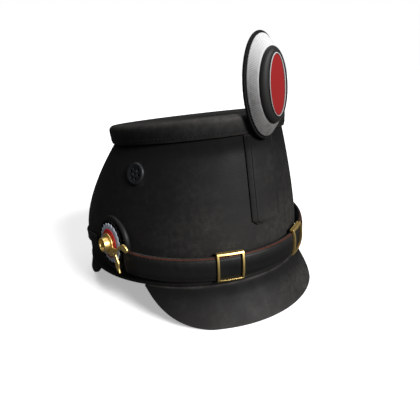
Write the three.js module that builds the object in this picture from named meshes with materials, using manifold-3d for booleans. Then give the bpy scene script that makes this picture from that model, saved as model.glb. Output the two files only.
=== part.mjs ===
// A leather shako: a bell-shaped body that leans forward, a turned-down top, a front and a rear peak,
// a chin strap with two brass slides, side cockades with strap posts, and an oval badge in front.
// Millimetres, +Z up. The front faces -Y, the wearer's right is -X, and the peaks stand on z = 0.
import * as THREE from 'three';
import { mergeVertices } from 'three/addons/utils/BufferGeometryUtils.js';
import Module from 'manifold-3d';

const wasm = await Module();
wasm.setup();

// General sizes
const GAP = 0.3; // clearance between pieces that lie on each other
const LEATHER = 2.5; // wall of the body and the peaks
const AROUND = 48; // facets round the body
const SIDES = { right: -1, left: 1 };

// Body: its outside at three heights above the lower rim
const RIM = { z: 0, halfWidth: 91.2, halfLength: 104, centreY: 0 };
const BELLY = { z: 27, halfWidth: 90.7, halfLength: 105.3, centreY: -0.6 };
const NECK = { z: 103.5, halfWidth: 67.1, halfLength: 75.4, centreY: -26 };
const BODY_CURVE = 1.52; // exponent of the inward turn above the belly
const TOP_SLOPE = -0.04; // the top falls towards the back
const RIM_BEAD = { height: 3, proud: 0.8 }; // rolled edge along the lower rim
const OUTER_HEIGHTS = [4.2, 15, 27, 40, 53, 66, 79, 91];
const INNER_HEIGHTS = [90, 73, 52, 27];
const NECK_STUB = 10; // the body goes on upright inside the top

// Top: a flat disc whose rounded edge is turned down over the body
const TOP_WALL = 1.7;
const TOP_SKIRT = { proud: 2, flare: 1, midFlare: 0.7, straight: 10.3, round: 4, roundSteps: 4 };

// Peaks: depth below the rim, stand-off from the rim and end angle from the middle
const PEAK_ROOT = 0.6; // the peak's outside beyond the rim
const PEAK_ROWS = 5; // points from the rim down to the edge
const PEAK_TIP = 0.99; // share of the end angle at which the blunt tip is cut
const FRONT_PEAK = { drop: 31, reach: 13.5, flare: 0.24, end: 61.1, corner: 4.5, over: 1.03, stations: 36 };
const REAR_PEAK = { drop: 20, reach: 5, flare: 0.1, end: 85.5, corner: 22, stations: 36 };
const REAR_PEAK_EDGE = { ends: 11, rise: 13 }; // depth near the ends, and how much the middle adds

// Chin strap: its section from the lower to the upper edge, and its course from the front to the ends
const STRAP_SECTION = [
  { up: -9.5, out: 2.4 },
  { up: -8.2, out: 2.9 },
  { up: -4, out: 3.4 },
  { up: 4, out: 3.4 },
  { up: 8.2, out: 2.9 },
  { up: 9.5, out: 2.4 },
];
const STRAP = { end: 67.5, height: 14, rise: 6.4, riseCurve: 2.83, stations: 41 };
const STRAP_LIFT = { from: 20, to: 64, low: 2.5, high: 5 }; // stands off the body and over the ring
const STRAP_TAPER = { from: 60, to: 67, share: 0.47 }; // thinner under the claw

// Band round the back, between the two cockades
const REAR_BAND = { from: 90.5, height: 26.6, half: 4.6, under: 0.45, stations: 29 };
const BAND_FALL = { by: 7.5, over: 38 }; // lower round the back than at its ends
const REAR_BAND_SECTION = [
  { up: -1, out: 1.1 },
  { up: -0.7, out: 1.7 },
  { up: 0.7, out: 1.7 },
  { up: 1, out: 1.1 },
];

// Pocket strip on the front: rows from the bottom to the top of the strip
const TAB_ROWS = [
  { z: 40.6, half: 10.4, face: 1.5, under: 0.3 },
  { z: 43.6, half: 14.2, face: 2.7, under: 0.3 },
  { z: 45, half: 14.2, face: 2.7, under: 1.5 },
  { z: 64, half: 14.2, face: 2.7, under: 1.5 },
  { z: 84, half: 14, face: 2.7, under: 1.5 },
  { z: 103.2, half: 13.8, face: 2.7, under: 1.5 },
];
const TAB_CREASE = 3.4; // width of the sloping border
const TAB_EDGE = 1.3; // height of the border's edge

// Field badge: oval rows of half width, half height and distance in front of the rim's middle
const OVAL = { centreZ: 136.9, facets: 34 };
const BADGE = {
  back: [
    { wide: 16, high: 33.4, forward: 105.6 },
    { wide: 17, high: 34.6, forward: 106.3 },
    { wide: 17.5, high: 35, forward: 107.1 },
    { wide: 17, high: 34.3, forward: 107.8 },
  ],
  white: [
    { wide: 15.5, high: 32.9, forward: 108.1 },
    { wide: 16.5, high: 33.4, forward: 109.2 },
    { wide: 16, high: 32.6, forward: 110.2 },
    { wide: 12.9, high: 24.7, forward: 116.9 },
  ],
  black: [
    { wide: 12.3, high: 24.1, forward: 117.2 },
    { wide: 12.65, high: 24.4, forward: 117.6 },
    { wide: 12.5, high: 24.2, forward: 118.3 },
    { wide: 11.2, high: 23.2, forward: 119.7 },
    { wide: 9.4, high: 21.6, forward: 120.5 },
    { wide: 7.8, high: 20.1, forward: 120.8 },
  ],
  piping: [
    { wide: 6.8, high: 19.2, forward: 121.1 },
    { wide: 7.5, high: 19.9, forward: 121.1 },
    { wide: 7.4, high: 19.8, forward: 121.7 },
    { wide: 6.9, high: 19.3, forward: 121.7 },
  ],
  red: [
    { wide: 6.5, high: 18.9, forward: 121.1 },
    { wide: 6.5, high: 18.9, forward: 121.4 },
    { wide: 5.6, high: 18, forward: 121.7 },
  ],
};
const PRONG = { half: 4, thin: 0.9, bottom: 78, top: 102.4, neckLow: 103.3, neckHigh: 105.7 };
const PRONG_SLOT = { half: 4.5, bottom: 102.9, size: 30 };

// Side fittings: angle from the front, and height on the body
const VENT = { turn: 70, z: 83.5, reach: 8, barrel: 6.6, bore: 5.7, facets: 16, drillLength: 24 };
const VENT_FRAME = [
  { radius: VENT.bore, up: -LEATHER },
  { radius: VENT.barrel, up: -LEATHER },
  { radius: VENT.barrel, up: GAP },
  { radius: 8.3, up: GAP },
  { radius: 8.3, up: 1.3 },
  { radius: 7.5, up: 2.2 },
  { radius: 6.5, up: 2.2 },
  { radius: VENT.bore, up: 1.5 },
];
const VENT_PLATE = { radius: 6.3, bottom: 0.4, thick: 1 };
const VENT_HOLES = { count: 6, circle: 3.9, radius: 1.15, segments: 4 };
const COCKADE = { turn: 77.1, z: 30.2, reach: 18, yaw: 9 }; // yaw: its discs face straight sideways
const RING = { inner: { wide: 16.8, high: 17.4 }, outer: { wide: 20.2, high: 21.8 }, facets: 28 };
const RING_TOP = { flat: 2.4, over: 2.8, level: 0.45 }; // its top lies between flat and the body's curve
const RING_SECTION = [
  { across: 0, rise: 0 },
  { across: 0, rise: 0.7 },
  { across: 0.3, rise: 1 },
  { across: 0.6, rise: 0.95 },
  { across: 1, rise: 0.45 },
  { across: 1, rise: 0 },
];
const EYE = 5.8; // hole round the post in everything that sits on it
const EYE_SEGMENTS = 9;
const DISC_FACETS = 24;
const POST_FACETS = 18;
const POST_PROFILE = [
  { radius: 0, up: 1.1 },
  { radius: 5.5, up: 1.1 },
  { radius: 5.5, up: 9.8 },
  { radius: 5.1, up: 10.2 },
  { radius: 4.3, up: 10.2 },
  { radius: 4.3, up: 7 },
  { radius: 0, up: 7 },
];
const BLACK_DISC = [
  { radius: EYE, up: 1.8 },
  { radius: 16.4, up: 1.8 },
  { radius: 16.4, up: 2.2 },
  { radius: 15.4, up: 2.4 },
  { radius: EYE, up: 2.4 },
];
const WHITE_DISC = { teeth: 22, tip: 15.8, root: 14.7, bottom: 2.7, thick: 0.7 };
const RED_DISC = [
  { radius: EYE, up: 3.7 },
  { radius: 10.5, up: 3.7 },
  { radius: 10.5, up: 4 },
  { radius: 9.6, up: 4.3 },
  { radius: EYE, up: 4.3 },
];
const CLAW = { bottom: 4.6, thick: 1.3, eye: 9.3, bend: 40 };
const CLAW_ARMS = [
  { along: 3, up: 1.5 }, { along: 9.7, up: 0.1 }, { along: 14.3, up: 0.7 }, { along: 17.6, up: 3.5 },
  { along: 20.8, up: 6.2 }, { along: 23.4, up: 5.6 }, { along: 25.8, up: 2.4 }, { along: 24.7, up: 0.2 },
  { along: 21.4, up: 1.1 }, { along: 18.8, up: 2.6 }, { along: 15.8, up: -0.8 }, { along: 13.4, up: -4.1 },
  { along: 14.2, up: -6.2 }, { along: 16.8, up: -10.5 }, { along: 17, up: -14.8 },
  { along: 18.1, up: -18.7 }, { along: 15.6, up: -17.4 }, { along: 13.3, up: -14.3 },
  { along: 12.5, up: -10.4 }, { along: 11.6, up: -7.1 }, { along: 8.3, up: -7.3 }, { along: 4.2, up: -8.2 },
];
const CLAW_HOLE = [{ along: 9.6, up: -4.6 }, { along: 11.6, up: -3.6 }, { along: 10.4, up: -2.4 }];
const BUCKLE = { turn: 21.6, reach: 6, raise: 1.1, width: 20.4, height: 22.2, corner: 1 };
const BUCKLE_BAR = { side: 1.8, cross: 1.5 };
const BUCKLE_DEPTH = { hook: 2.5, seat: 6.3, thick: 2 }; // distances from the body
const BUCKLE_NUB = { width: 2.6, height: 1.2, thick: 1.4 };

// Finishes
const BLACK_LEATHER = { color: 0x24211e, roughness: 0.6, metalness: 0 };
const STRAP_LEATHER = { color: 0x1b1a19, roughness: 0.45, metalness: 0 };
const BLACK_PAINT = { color: 0x131313, roughness: 0.35, metalness: 0 };
const WHITE_PAINT = { color: 0xe9e5dd, roughness: 0.5, metalness: 0 };
const RED_PAINT = { color: 0xb02a2c, roughness: 0.45, metalness: 0 };
const BRASS = { color: 0xc99a35, roughness: 0.3, metalness: 1 };
const DARK_METAL = { color: 0x15181c, roughness: 0.4, metalness: 0.6 };

const WALL_SEARCH = { low: -40, high: 20, passes: 40 };
const radians = THREE.MathUtils.degToRad;
const { lerp, smoothstep } = THREE.MathUtils;

// The level that the peaks stand on, as a plane in the frame of the rim
const FRONT_EDGE = -(RIM.halfLength + PEAK_ROOT + FRONT_PEAK.reach);
const REAR_EDGE = RIM.halfLength + PEAK_ROOT + REAR_PEAK.reach;
const STAND_SLOPE = (FRONT_PEAK.drop - REAR_PEAK.drop) / (REAR_EDGE - FRONT_EDGE);
const standDepth = (y) => FRONT_PEAK.drop - (y - FRONT_EDGE) * STAND_SLOPE;

// The body's outline at a height: an oval whose plane tips with the top
function outlineAt(z) {
  const low = z < BELLY.z;
  const [from, to] = low ? [RIM, BELLY] : [BELLY, NECK];
  const share = Math.min((z - from.z) / (to.z - from.z), 1);
  const turnIn = low ? share : share ** BODY_CURVE;
  return {
    halfWidth: lerp(from.halfWidth, to.halfWidth, turnIn),
    halfLength: lerp(from.halfLength, to.halfLength, turnIn),
    centreY: lerp(from.centreY, to.centreY, turnIn),
    slope: low ? 0 : TOP_SLOPE * turnIn,
  };
}

// A point off the body's outside; turn runs from the front towards the wearer's left
function wallPoint(turn, z, out = 0) {
  const oval = outlineAt(z);
  const x = (oval.halfWidth + out) * Math.sin(turn);
  const back = -(oval.halfLength + out) * Math.cos(turn);
  return new THREE.Vector3(x, oval.centreY + back, z + oval.slope * back);
}

// The same, for a place given by its distance from the middle of the front
function frontPoint(x, z, out) {
  return wallPoint(Math.asin(x / (outlineAt(z).halfWidth + out)), z, out);
}

// How far a point lies outside the body, as a share of the outline
function outsideBody(point) {
  let z = point.z;
  let oval = outlineAt(z);
  for (let pass = 0; pass < 4; pass += 1) {
    z = point.z - oval.slope * (point.y - oval.centreY);
    oval = outlineAt(z);
  }
  return Math.hypot(point.x / oval.halfWidth, (point.y - oval.centreY) / oval.halfLength) - 1;
}

function span(from, to, count) {
  return Array.from({ length: count }, (_, step) => lerp(from, to, step / (count - 1)));
}

function aroundBody(place) {
  return Array.from({ length: AROUND }, (_, step) => place((2 * Math.PI * step) / AROUND));
}

// Turns every face of a closed skin outwards
function faceOut(geometry) {
  const index = geometry.index.array;
  const corner = [0, 1, 2].map(() => new THREE.Vector3());
  let volume = 0;
  for (let i = 0; i < index.length; i += 3) {
    corner.forEach((point, k) => point.fromBufferAttribute(geometry.attributes.position, index[i + k]));
    volume += corner[0].dot(corner[1].cross(corner[2]));
  }
  if (volume < 0) {
    for (let i = 0; i < index.length; i += 3) {
      [index[i], index[i + 1]] = [index[i + 1], index[i]];
    }
  }
  geometry.computeVertexNormals();
  return geometry;
}

// One closed skin through rings of points. The ends are joined to each other (loop), closed round a
// middle point (fan), or closed across a section whose second half faces its first (strip).
function loft(rings, ends) {
  const count = rings[0].length;
  const last = (rings.length - 1) * count;
  const points = rings.flat();
  const index = [];
  const quad = (a, b, c, d) => index.push(a, b, c, a, c, d);
  const band = (low, high) => {
    for (let i = 0; i < count; i += 1) {
      const next = (i + 1) % count;
      quad(low + i, low + next, high + next, high + i);
    }
  };
  for (let ring = 0; ring < rings.length - 1; ring += 1) {
    band(ring * count, (ring + 1) * count);
  }
  if (ends === 'loop') {
    band(last, 0);
  }
  if (ends === 'fan') {
    const middles = [rings[0], rings.at(-1)].map((ring) => {
      const sum = ring.reduce((total, point) => total.add(point), new THREE.Vector3());
      return points.push(sum.divideScalar(count)) - 1;
    });
    for (let i = 0; i < count; i += 1) {
      const next = (i + 1) % count;
      index.push(next, i, middles[0], last + i, last + next, middles[1]);
    }
  }
  if (ends === 'strip') {
    for (let i = 0; i < count / 2 - 1; i += 1) {
      const facing = count - 1 - i;
      quad(facing, facing - 1, i + 1, i);
      quad(last + i, last + i + 1, last + facing - 1, last + facing);
    }
  }
  const geometry = new THREE.BufferGeometry().setFromPoints(points);
  geometry.setIndex(index);
  return faceOut(geometry);
}

// A round piece about the local z axis, from a profile that closes on itself or lies on the axis
function turned(profile, facets) {
  const onAxis = profile[0].radius === 0;
  const rows = onAxis ? profile : [...profile, profile[0]];
  const outline = rows.map(({ radius, up }) => new THREE.Vector2(radius, up));
  return faceOut(new THREE.LatheGeometry(outline, facets).rotateX(Math.PI / 2));
}

function circle(radius, x = 0, y = 0) {
  return new THREE.Shape().absarc(x, y, radius, 0, 2 * Math.PI);
}

// A flat piece between two heights on the local z axis
function plate(shape, bottom, thick, curveSegments = EYE_SEGMENTS) {
  const settings = { depth: thick, bevelEnabled: false, curveSegments };
  return new THREE.ExtrudeGeometry(shape, settings).translate(0, 0, bottom);
}

function box(width, depth, height, x, y, z) {
  return new THREE.BoxGeometry(width, depth, height).translate(x, y, z);
}

function solidOf(geometry) {
  const bare = geometry.clone();
  bare.deleteAttribute('normal');
  bare.deleteAttribute('uv');
  const merged = mergeVertices(bare);
  const vertProperties = new Float32Array(merged.attributes.position.array);
  const triVerts = new Uint32Array(merged.index.array);
  return new wasm.Manifold(new wasm.Mesh({ numProp: 3, vertProperties, triVerts }));
}

function skinOf(solid) {
  const mesh = solid.getMesh();
  const geometry = new THREE.BufferGeometry();
  geometry.setAttribute('position', new THREE.BufferAttribute(mesh.vertProperties, 3));
  geometry.setIndex(new THREE.BufferAttribute(mesh.triVerts, 1));
  geometry.computeVertexNormals();
  return geometry;
}

function joined(...parts) {
  return skinOf(parts.map(solidOf).reduce((sum, part) => sum.add(part)));
}

function cut(part, ...tools) {
  return skinOf(tools.map(solidOf).reduce((rest, tool) => rest.subtract(tool), solidOf(part)));
}

function addPiece(parent, name, geometry, finish) {
  const mesh = new THREE.Mesh(geometry, new THREE.MeshStandardMaterial(finish));
  mesh.name = name;
  parent.add(mesh);
}

// The place of a side fitting: x runs along the wall, y up the wall and z straight out of it
function fittingPlace(side, turnDegrees, z, reach) {
  const turn = side * radians(turnDegrees);
  const nudge = 0.05;
  const up = wallPoint(turn, z + reach).sub(wallPoint(turn, z - reach)).normalize();
  const along = wallPoint(turn + nudge, z).sub(wallPoint(turn - nudge, z)).normalize();
  const out = new THREE.Vector3().crossVectors(along, up).normalize();
  const across = new THREE.Vector3().crossVectors(up, out);
  return new THREE.Matrix4().makeBasis(across, up, out).setPosition(wallPoint(turn, z));
}

function fittingGroup(parent, place) {
  const group = new THREE.Group();
  group.applyMatrix4(place);
  parent.add(group);
  return group;
}

// The height of the body's outside over a fitting's own base plane, found by halving
function wallHeight(place, x, y) {
  let { low, high } = WALL_SEARCH;
  for (let pass = 0; pass < WALL_SEARCH.passes; pass += 1) {
    const middle = (low + high) / 2;
    const point = new THREE.Vector3(x, y, middle).applyMatrix4(place);
    [low, high] = outsideBody(point) > 0 ? [low, middle] : [middle, high];
  }
  return low;
}

function crownSkin() {
  const outside = [
    aroundBody((turn) => wallPoint(turn, RIM.z, RIM_BEAD.proud)),
    aroundBody((turn) => wallPoint(turn, RIM_BEAD.height, RIM_BEAD.proud)),
    ...OUTER_HEIGHTS.map((z) => aroundBody((turn) => wallPoint(turn, z))),
    aroundBody((turn) => wallPoint(turn, NECK.z)),
    aroundBody((turn) => wallPoint(turn, NECK.z + NECK_STUB)),
  ];
  const inside = [NECK.z + NECK_STUB, ...INNER_HEIGHTS, RIM.z].map((z) => (
    aroundBody((turn) => wallPoint(turn, z, -LEATHER))
  ));
  return loft([...outside, ...inside], 'loop');
}

function crownTopSkin() {
  const { proud, flare, midFlare, straight, round, roundSteps } = TOP_SKIRT;
  const rows = [
    { up: 0, out: proud },
    { up: straight / 2, out: proud + midFlare },
  ];
  span(0, Math.PI / 2, roundSteps + 1).forEach((angle) => {
    const out = proud + flare - round * (1 - Math.cos(angle));
    rows.push({ up: straight + round * Math.sin(angle), out });
  });
  const ceiling = straight + round - TOP_WALL;
  rows.push({ up: ceiling, out: proud + flare - round });
  rows.push({ up: straight, out: proud + flare - TOP_WALL });
  rows.push({ up: 0, out: proud - TOP_WALL });
  const rings = rows.map(({ up, out }) => aroundBody((turn) => wallPoint(turn, NECK.z + up, out)));
  const outerRows = rows.length - 3;
  return loft([...rings.slice(0, outerRows).reverse(), ...rings.slice(outerRows).reverse()], 'fan');
}

// The depth of a peak's edge where it would touch the stand
function touchDepth(turn, peak) {
  const back = -(RIM.halfLength + PEAK_ROOT + peak.reach) * Math.cos(turn);
  return standDepth(back);
}

// One station of a peak: its outside from the rim down to the edge, then its inside back up. An edge
// that is deep enough lies flat on the stand.
function peakStation(turn, freeDepth, peak) {
  const { reach, drop, flare } = peak;
  const depth = Math.min(touchDepth(turn, peak), freeDepth);
  const rests = depth < freeDepth;
  const rimPoint = (down, inset) => {
    const share = down / drop;
    const out = PEAK_ROOT + reach * ((1 - flare) * share + flare * share * share) - inset;
    const x = (RIM.halfWidth + out) * Math.sin(turn);
    const y = -(RIM.halfLength + out) * Math.cos(turn);
    return new THREE.Vector3(x, y, -down);
  };
  const face = (inset) => span(GAP, depth, PEAK_ROWS).map((down) => rimPoint(down, inset));
  const [outer, inner] = [face(0), face(LEATHER)];
  [outer.at(-1), inner.at(-1)].forEach((edge) => {
    const floor = -standDepth(edge.y);
    edge.z = rests ? floor : Math.max(edge.z, floor);
  });
  return [...outer, ...inner.reverse()];
}

function frontPeakSkin() {
  const { drop, end, corner, over, stations } = FRONT_PEAK;
  return loft(span(-PEAK_TIP, PEAK_TIP, stations).map((share) => {
    const depth = drop * over * (1 - Math.abs(share) ** corner);
    return peakStation(radians(end * share), depth, FRONT_PEAK);
  }), 'strip');
}

function rearPeakSkin() {
  const { end, corner, stations } = REAR_PEAK;
  return loft(span(-PEAK_TIP, PEAK_TIP, stations).map((share) => {
    const edge = REAR_PEAK_EDGE.ends + REAR_PEAK_EDGE.rise * Math.cos((share * Math.PI) / 2) ** 2;
    const depth = edge * (1 - Math.abs(share) ** corner);
    return peakStation(Math.PI + radians(end * share), depth, REAR_PEAK);
  }), 'strip');
}

// The strap's middle line climbs from the front towards the posts
function strapHeight(degrees) {
  return STRAP.height + STRAP.rise * Math.abs(degrees / STRAP.end) ** STRAP.riseCurve;
}

function strapSkin() {
  return loft(span(-STRAP.end, STRAP.end, STRAP.stations).map((degrees) => {
    const turn = radians(degrees);
    const height = strapHeight(degrees);
    const away = Math.abs(degrees);
    const under = lerp(STRAP_LIFT.low, STRAP_LIFT.high, smoothstep(away, STRAP_LIFT.from, STRAP_LIFT.to));
    const body = lerp(1, STRAP_TAPER.share, smoothstep(away, STRAP_TAPER.from, STRAP_TAPER.to));
    const outer = STRAP_SECTION.map(({ up, out }) => wallPoint(turn, height + up, under + out * body));
    const inner = STRAP_SECTION.map(({ up }) => wallPoint(turn, height + up, under));
    return [...outer, ...inner.reverse()];
  }), 'strip');
}

function rearBandSkin() {
  const { from, height, half, under, stations } = REAR_BAND;
  return loft(span(from, 360 - from, stations).map((degrees) => {
    const fromEnd = Math.min(degrees, 360 - degrees) - from;
    const middle = height - BAND_FALL.by * smoothstep(fromEnd, 0, BAND_FALL.over);
    const place = (out) => ({ up }) => wallPoint(radians(degrees), middle + up * half, out);
    const outer = REAR_BAND_SECTION.map((row) => place(row.out)(row));
    const inner = REAR_BAND_SECTION.map(place(under));
    return [...outer, ...inner.reverse()];
  }), 'strip');
}

function frontTabSkin() {
  const rings = TAB_ROWS.map(({ z, half, face, under }) => {
    const crease = half - TAB_CREASE;
    const columns = [
      { x: -half, out: TAB_EDGE, low: GAP },
      { x: -crease, out: face, low: under },
      { x: 0, out: face, low: under },
      { x: crease, out: face, low: under },
      { x: half, out: TAB_EDGE, low: GAP },
    ];
    const outer = columns.map(({ x, out }) => frontPoint(x, z, out));
    const inner = columns.map(({ x, low }) => frontPoint(x, z, low));
    return [...outer, ...inner.reverse()];
  });
  const { half: slotHalf, bottom, size } = PRONG_SLOT;
  const slot = box(2 * slotHalf, size, size, 0, -RIM.halfLength, bottom + size / 2);
  return cut(loft(rings, 'strip'), slot);
}

function ovalRings(rows) {
  return rows.map(({ wide, high, forward }) => Array.from({ length: OVAL.facets }, (_, step) => {
    const angle = (2 * Math.PI * step) / OVAL.facets;
    return new THREE.Vector3(wide * Math.sin(angle), -forward, OVAL.centreZ + high * Math.cos(angle));
  }));
}

function badgeBackSkin() {
  const { half, thin, bottom, top, neckLow, neckHigh } = PRONG;
  const blade = loft([bottom, (bottom + top) / 2, top].map((z) => {
    const outer = [-half, half].map((x) => frontPoint(x, z, GAP + thin));
    const inner = [half, -half].map((x) => frontPoint(x, z, GAP));
    return [...outer, ...inner];
  }), 'strip');
  const backFace = -BADGE.back[0].forward;
  const bladeFace = frontPoint(0, top, GAP).y;
  const bury = 0.5;
  const depth = bladeFace - backFace + bury;
  const neck = box(2 * half, depth, neckHigh - neckLow, 0, bladeFace - depth / 2, (neckLow + neckHigh) / 2);
  return joined(loft(ovalRings(BADGE.back), 'fan'), neck, blade);
}

function addBadge(hat) {
  addPiece(hat, 'badge_back', badgeBackSkin(), BLACK_PAINT);
  addPiece(hat, 'badge_white', loft(ovalRings(BADGE.white), 'fan'), WHITE_PAINT);
  addPiece(hat, 'badge_black', loft(ovalRings(BADGE.black), 'fan'), BLACK_PAINT);
  addPiece(hat, 'badge_piping', loft(ovalRings(BADGE.piping), 'loop'), WHITE_PAINT);
  addPiece(hat, 'badge_red', loft(ovalRings(BADGE.red), 'fan'), RED_PAINT);
}

function ventPlace(side) {
  return fittingPlace(side, VENT.turn, VENT.z, VENT.reach);
}

function ventSkin() {
  const disc = circle(VENT_PLATE.radius);
  const holes = [{ x: 0, y: 0 }];
  for (let step = 0; step < VENT_HOLES.count; step += 1) {
    const angle = (2 * Math.PI * step) / VENT_HOLES.count;
    holes.push({ x: VENT_HOLES.circle * Math.cos(angle), y: VENT_HOLES.circle * Math.sin(angle) });
  }
  disc.holes = holes.map(({ x, y }) => circle(VENT_HOLES.radius, x, y));
  const sieve = plate(disc, VENT_PLATE.bottom, VENT_PLATE.thick, VENT_HOLES.segments);
  return joined(turned(VENT_FRAME, VENT.facets), sieve);
}

function crownWithVentHoles() {
  const radius = VENT.barrel + GAP;
  const drills = Object.values(SIDES).map((side) => (
    new THREE.CylinderGeometry(radius, radius, VENT.drillLength, VENT.facets)
      .rotateX(Math.PI / 2)
      .applyMatrix4(ventPlace(side))
  ));
  return cut(crownSkin(), ...drills);
}

// The padded ring follows the curve of the body under it
function cockadeRingSkin(place) {
  const rings = Array.from({ length: RING.facets }, (_, step) => {
    const angle = (2 * Math.PI * step) / RING.facets;
    return RING_SECTION.map(({ across, rise }) => {
      const x = lerp(RING.inner.wide, RING.outer.wide, across) * Math.cos(angle);
      const y = lerp(RING.inner.high, RING.outer.high, across) * Math.sin(angle);
      const wall = wallHeight(place, x, y);
      const top = lerp(wall + RING_TOP.over, Math.max(RING_TOP.flat, wall), RING_TOP.level);
      return new THREE.Vector3(x, y, lerp(wall + GAP, top, rise));
    });
  });
  return loft(rings, 'loop');
}

function starSkin() {
  const { teeth, tip, root, bottom, thick } = WHITE_DISC;
  const corners = Array.from({ length: 2 * teeth }, (_, step) => {
    const radius = step % 2 ? root : tip;
    const angle = (Math.PI * step) / teeth;
    return new THREE.Vector2(radius * Math.cos(angle), radius * Math.sin(angle));
  });
  const star = new THREE.Shape(corners);
  star.holes = [circle(EYE)];
  return plate(star, bottom, thick);
}

// The claw's eye sits on the post; its arms run forward and bend round the hat to the strap's end
function clawSkin(side) {
  const forward = -side;
  const corners = (rows) => rows.map(({ along, up }) => new THREE.Vector2(forward * along, up));
  const flat = (shape) => plate(shape, CLAW.bottom, CLAW.thick);
  const blank = joined(flat(circle(CLAW.eye)), flat(new THREE.Shape(corners(CLAW_ARMS))));
  const holes = [circle(EYE), new THREE.Shape(corners(CLAW_HOLE))];
  const geometry = cut(blank, ...holes.map((shape) => plate(shape, 0, 2 * CLAW.bottom)));
  const points = geometry.attributes.position;
  for (let i = 0; i < points.count; i += 1) {
    const past = Math.max(Math.abs(points.getX(i)) - CLAW.eye, 0);
    points.setZ(i, points.getZ(i) - past ** 2 / (2 * CLAW.bend));
  }
  return geometry;
}

function addCockade(hat, word, side) {
  const yaw = new THREE.Matrix4().makeRotationY(side * radians(COCKADE.yaw));
  const place = fittingPlace(side, COCKADE.turn, COCKADE.z, COCKADE.reach).multiply(yaw);
  const group = fittingGroup(hat, place);
  addPiece(group, `cockade_rim_${word}`, cockadeRingSkin(place), BLACK_LEATHER);
  addPiece(group, `cockade_black_${word}`, turned(BLACK_DISC, DISC_FACETS), BLACK_PAINT);
  addPiece(group, `cockade_white_${word}`, starSkin(), WHITE_PAINT);
  addPiece(group, `cockade_red_${word}`, turned(RED_DISC, DISC_FACETS), RED_PAINT);
  addPiece(group, `strap_post_${word}`, turned(POST_PROFILE, POST_FACETS), BRASS);
  addPiece(group, `strap_claw_${word}`, clawSkin(side), BRASS);
}

// A slide: its frame lies on the strap, and its upper bar reaches in over the strap's edge
function buckleSkin() {
  const { width, height, corner } = BUCKLE;
  const { hook, seat, thick } = BUCKLE_DEPTH;
  const frame = new THREE.Shape();
  const [right, top] = [width / 2, height / 2];
  frame.moveTo(-right + corner, -top).lineTo(right - corner, -top).lineTo(right, -top + corner);
  frame.lineTo(right, top - corner).lineTo(right - corner, top).lineTo(-right + corner, top);
  frame.lineTo(-right, top - corner).lineTo(-right, -top + corner);
  const [holeX, holeY] = [right - BUCKLE_BAR.side, top - BUCKLE_BAR.cross];
  const hole = new THREE.Path();
  hole.moveTo(-holeX, -holeY).lineTo(-holeX, holeY).lineTo(holeX, holeY).lineTo(holeX, -holeY);
  frame.holes = [hole];
  const deep = seat + thick - hook;
  const lip = box(width - 2 * corner, BUCKLE_BAR.cross, deep, 0, (top + holeY) / 2, hook + deep / 2);
  const nub = box(BUCKLE_NUB.width, 2 * BUCKLE_NUB.height, BUCKLE_NUB.thick, 0, holeY, seat + thick / 2);
  return joined(plate(frame, seat, thick), lip, nub);
}

function buildHat() {
  const hat = new THREE.Group();
  addPiece(hat, 'crown', crownWithVentHoles(), BLACK_LEATHER);
  addPiece(hat, 'crown_top', crownTopSkin(), BLACK_LEATHER);
  addPiece(hat, 'front_peak', frontPeakSkin(), BLACK_LEATHER);
  addPiece(hat, 'rear_peak', rearPeakSkin(), BLACK_LEATHER);
  addPiece(hat, 'rear_band', rearBandSkin(), BLACK_LEATHER);
  addPiece(hat, 'front_tab', frontTabSkin(), BLACK_LEATHER);
  addPiece(hat, 'chin_strap', strapSkin(), STRAP_LEATHER);
  addBadge(hat);
  Object.entries(SIDES).forEach(([word, side]) => {
    addPiece(fittingGroup(hat, ventPlace(side)), `vent_${word}`, ventSkin(), DARK_METAL);
    const buckleHeight = strapHeight(BUCKLE.turn) + BUCKLE.raise;
    const bucklePlace = fittingPlace(side, BUCKLE.turn, buckleHeight, BUCKLE.reach);
    addPiece(fittingGroup(hat, bucklePlace), `buckle_${word}`, buckleSkin(), BRASS);
    addCockade(hat, word, side);
  });
  return hat;
}

// The hat stands on its peaks, with the middle of its box over the origin
const shako = new THREE.Group();
const hat = buildHat();
hat.rotation.x = -Math.atan(STAND_SLOPE);
shako.add(hat);
shako.updateMatrixWorld(true);
const whole = new THREE.Box3().setFromObject(shako, true);
const middle = whole.getCenter(new THREE.Vector3());
hat.position.set(-middle.x, -middle.y, -whole.min.z);
shako.updateMatrixWorld(true);

export default shako;
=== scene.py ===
"""Looks of a leather shako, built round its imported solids.

Sizes are millimetres in the hat's own frame: the lower rim lies in z = 0, the front faces -Y and the
wearer's right is -X. Each finished piece is set down in the frame's metres, where the hat stands on its
peaks.
"""

import logging
import math
import random
from dataclasses import dataclass
from enum import Enum
from typing import Callable, Iterable, Sequence, Union

import bpy
from mathutils import Matrix, Vector


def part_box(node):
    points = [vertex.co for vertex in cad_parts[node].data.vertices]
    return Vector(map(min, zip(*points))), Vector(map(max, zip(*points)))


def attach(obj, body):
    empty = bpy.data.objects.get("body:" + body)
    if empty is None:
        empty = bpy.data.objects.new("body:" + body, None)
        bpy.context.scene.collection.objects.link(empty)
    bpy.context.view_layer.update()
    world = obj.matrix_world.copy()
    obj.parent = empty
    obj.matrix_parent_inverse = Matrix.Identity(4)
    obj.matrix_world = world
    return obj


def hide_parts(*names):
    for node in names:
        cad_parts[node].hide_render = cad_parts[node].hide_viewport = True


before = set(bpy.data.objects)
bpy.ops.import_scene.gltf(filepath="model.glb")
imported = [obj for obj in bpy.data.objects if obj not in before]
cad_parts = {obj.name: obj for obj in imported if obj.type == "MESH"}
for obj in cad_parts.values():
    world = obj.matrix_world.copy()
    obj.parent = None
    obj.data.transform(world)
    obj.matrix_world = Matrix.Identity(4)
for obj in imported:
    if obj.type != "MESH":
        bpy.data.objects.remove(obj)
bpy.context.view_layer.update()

LOG = logging.getLogger("shako")
MM = 0.001
GAP = 0.3  # clearance between pieces that lie on each other
HALF_TURN = math.pi
FULL_TURN = 2 * math.pi
CARRIER = "root"

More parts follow.
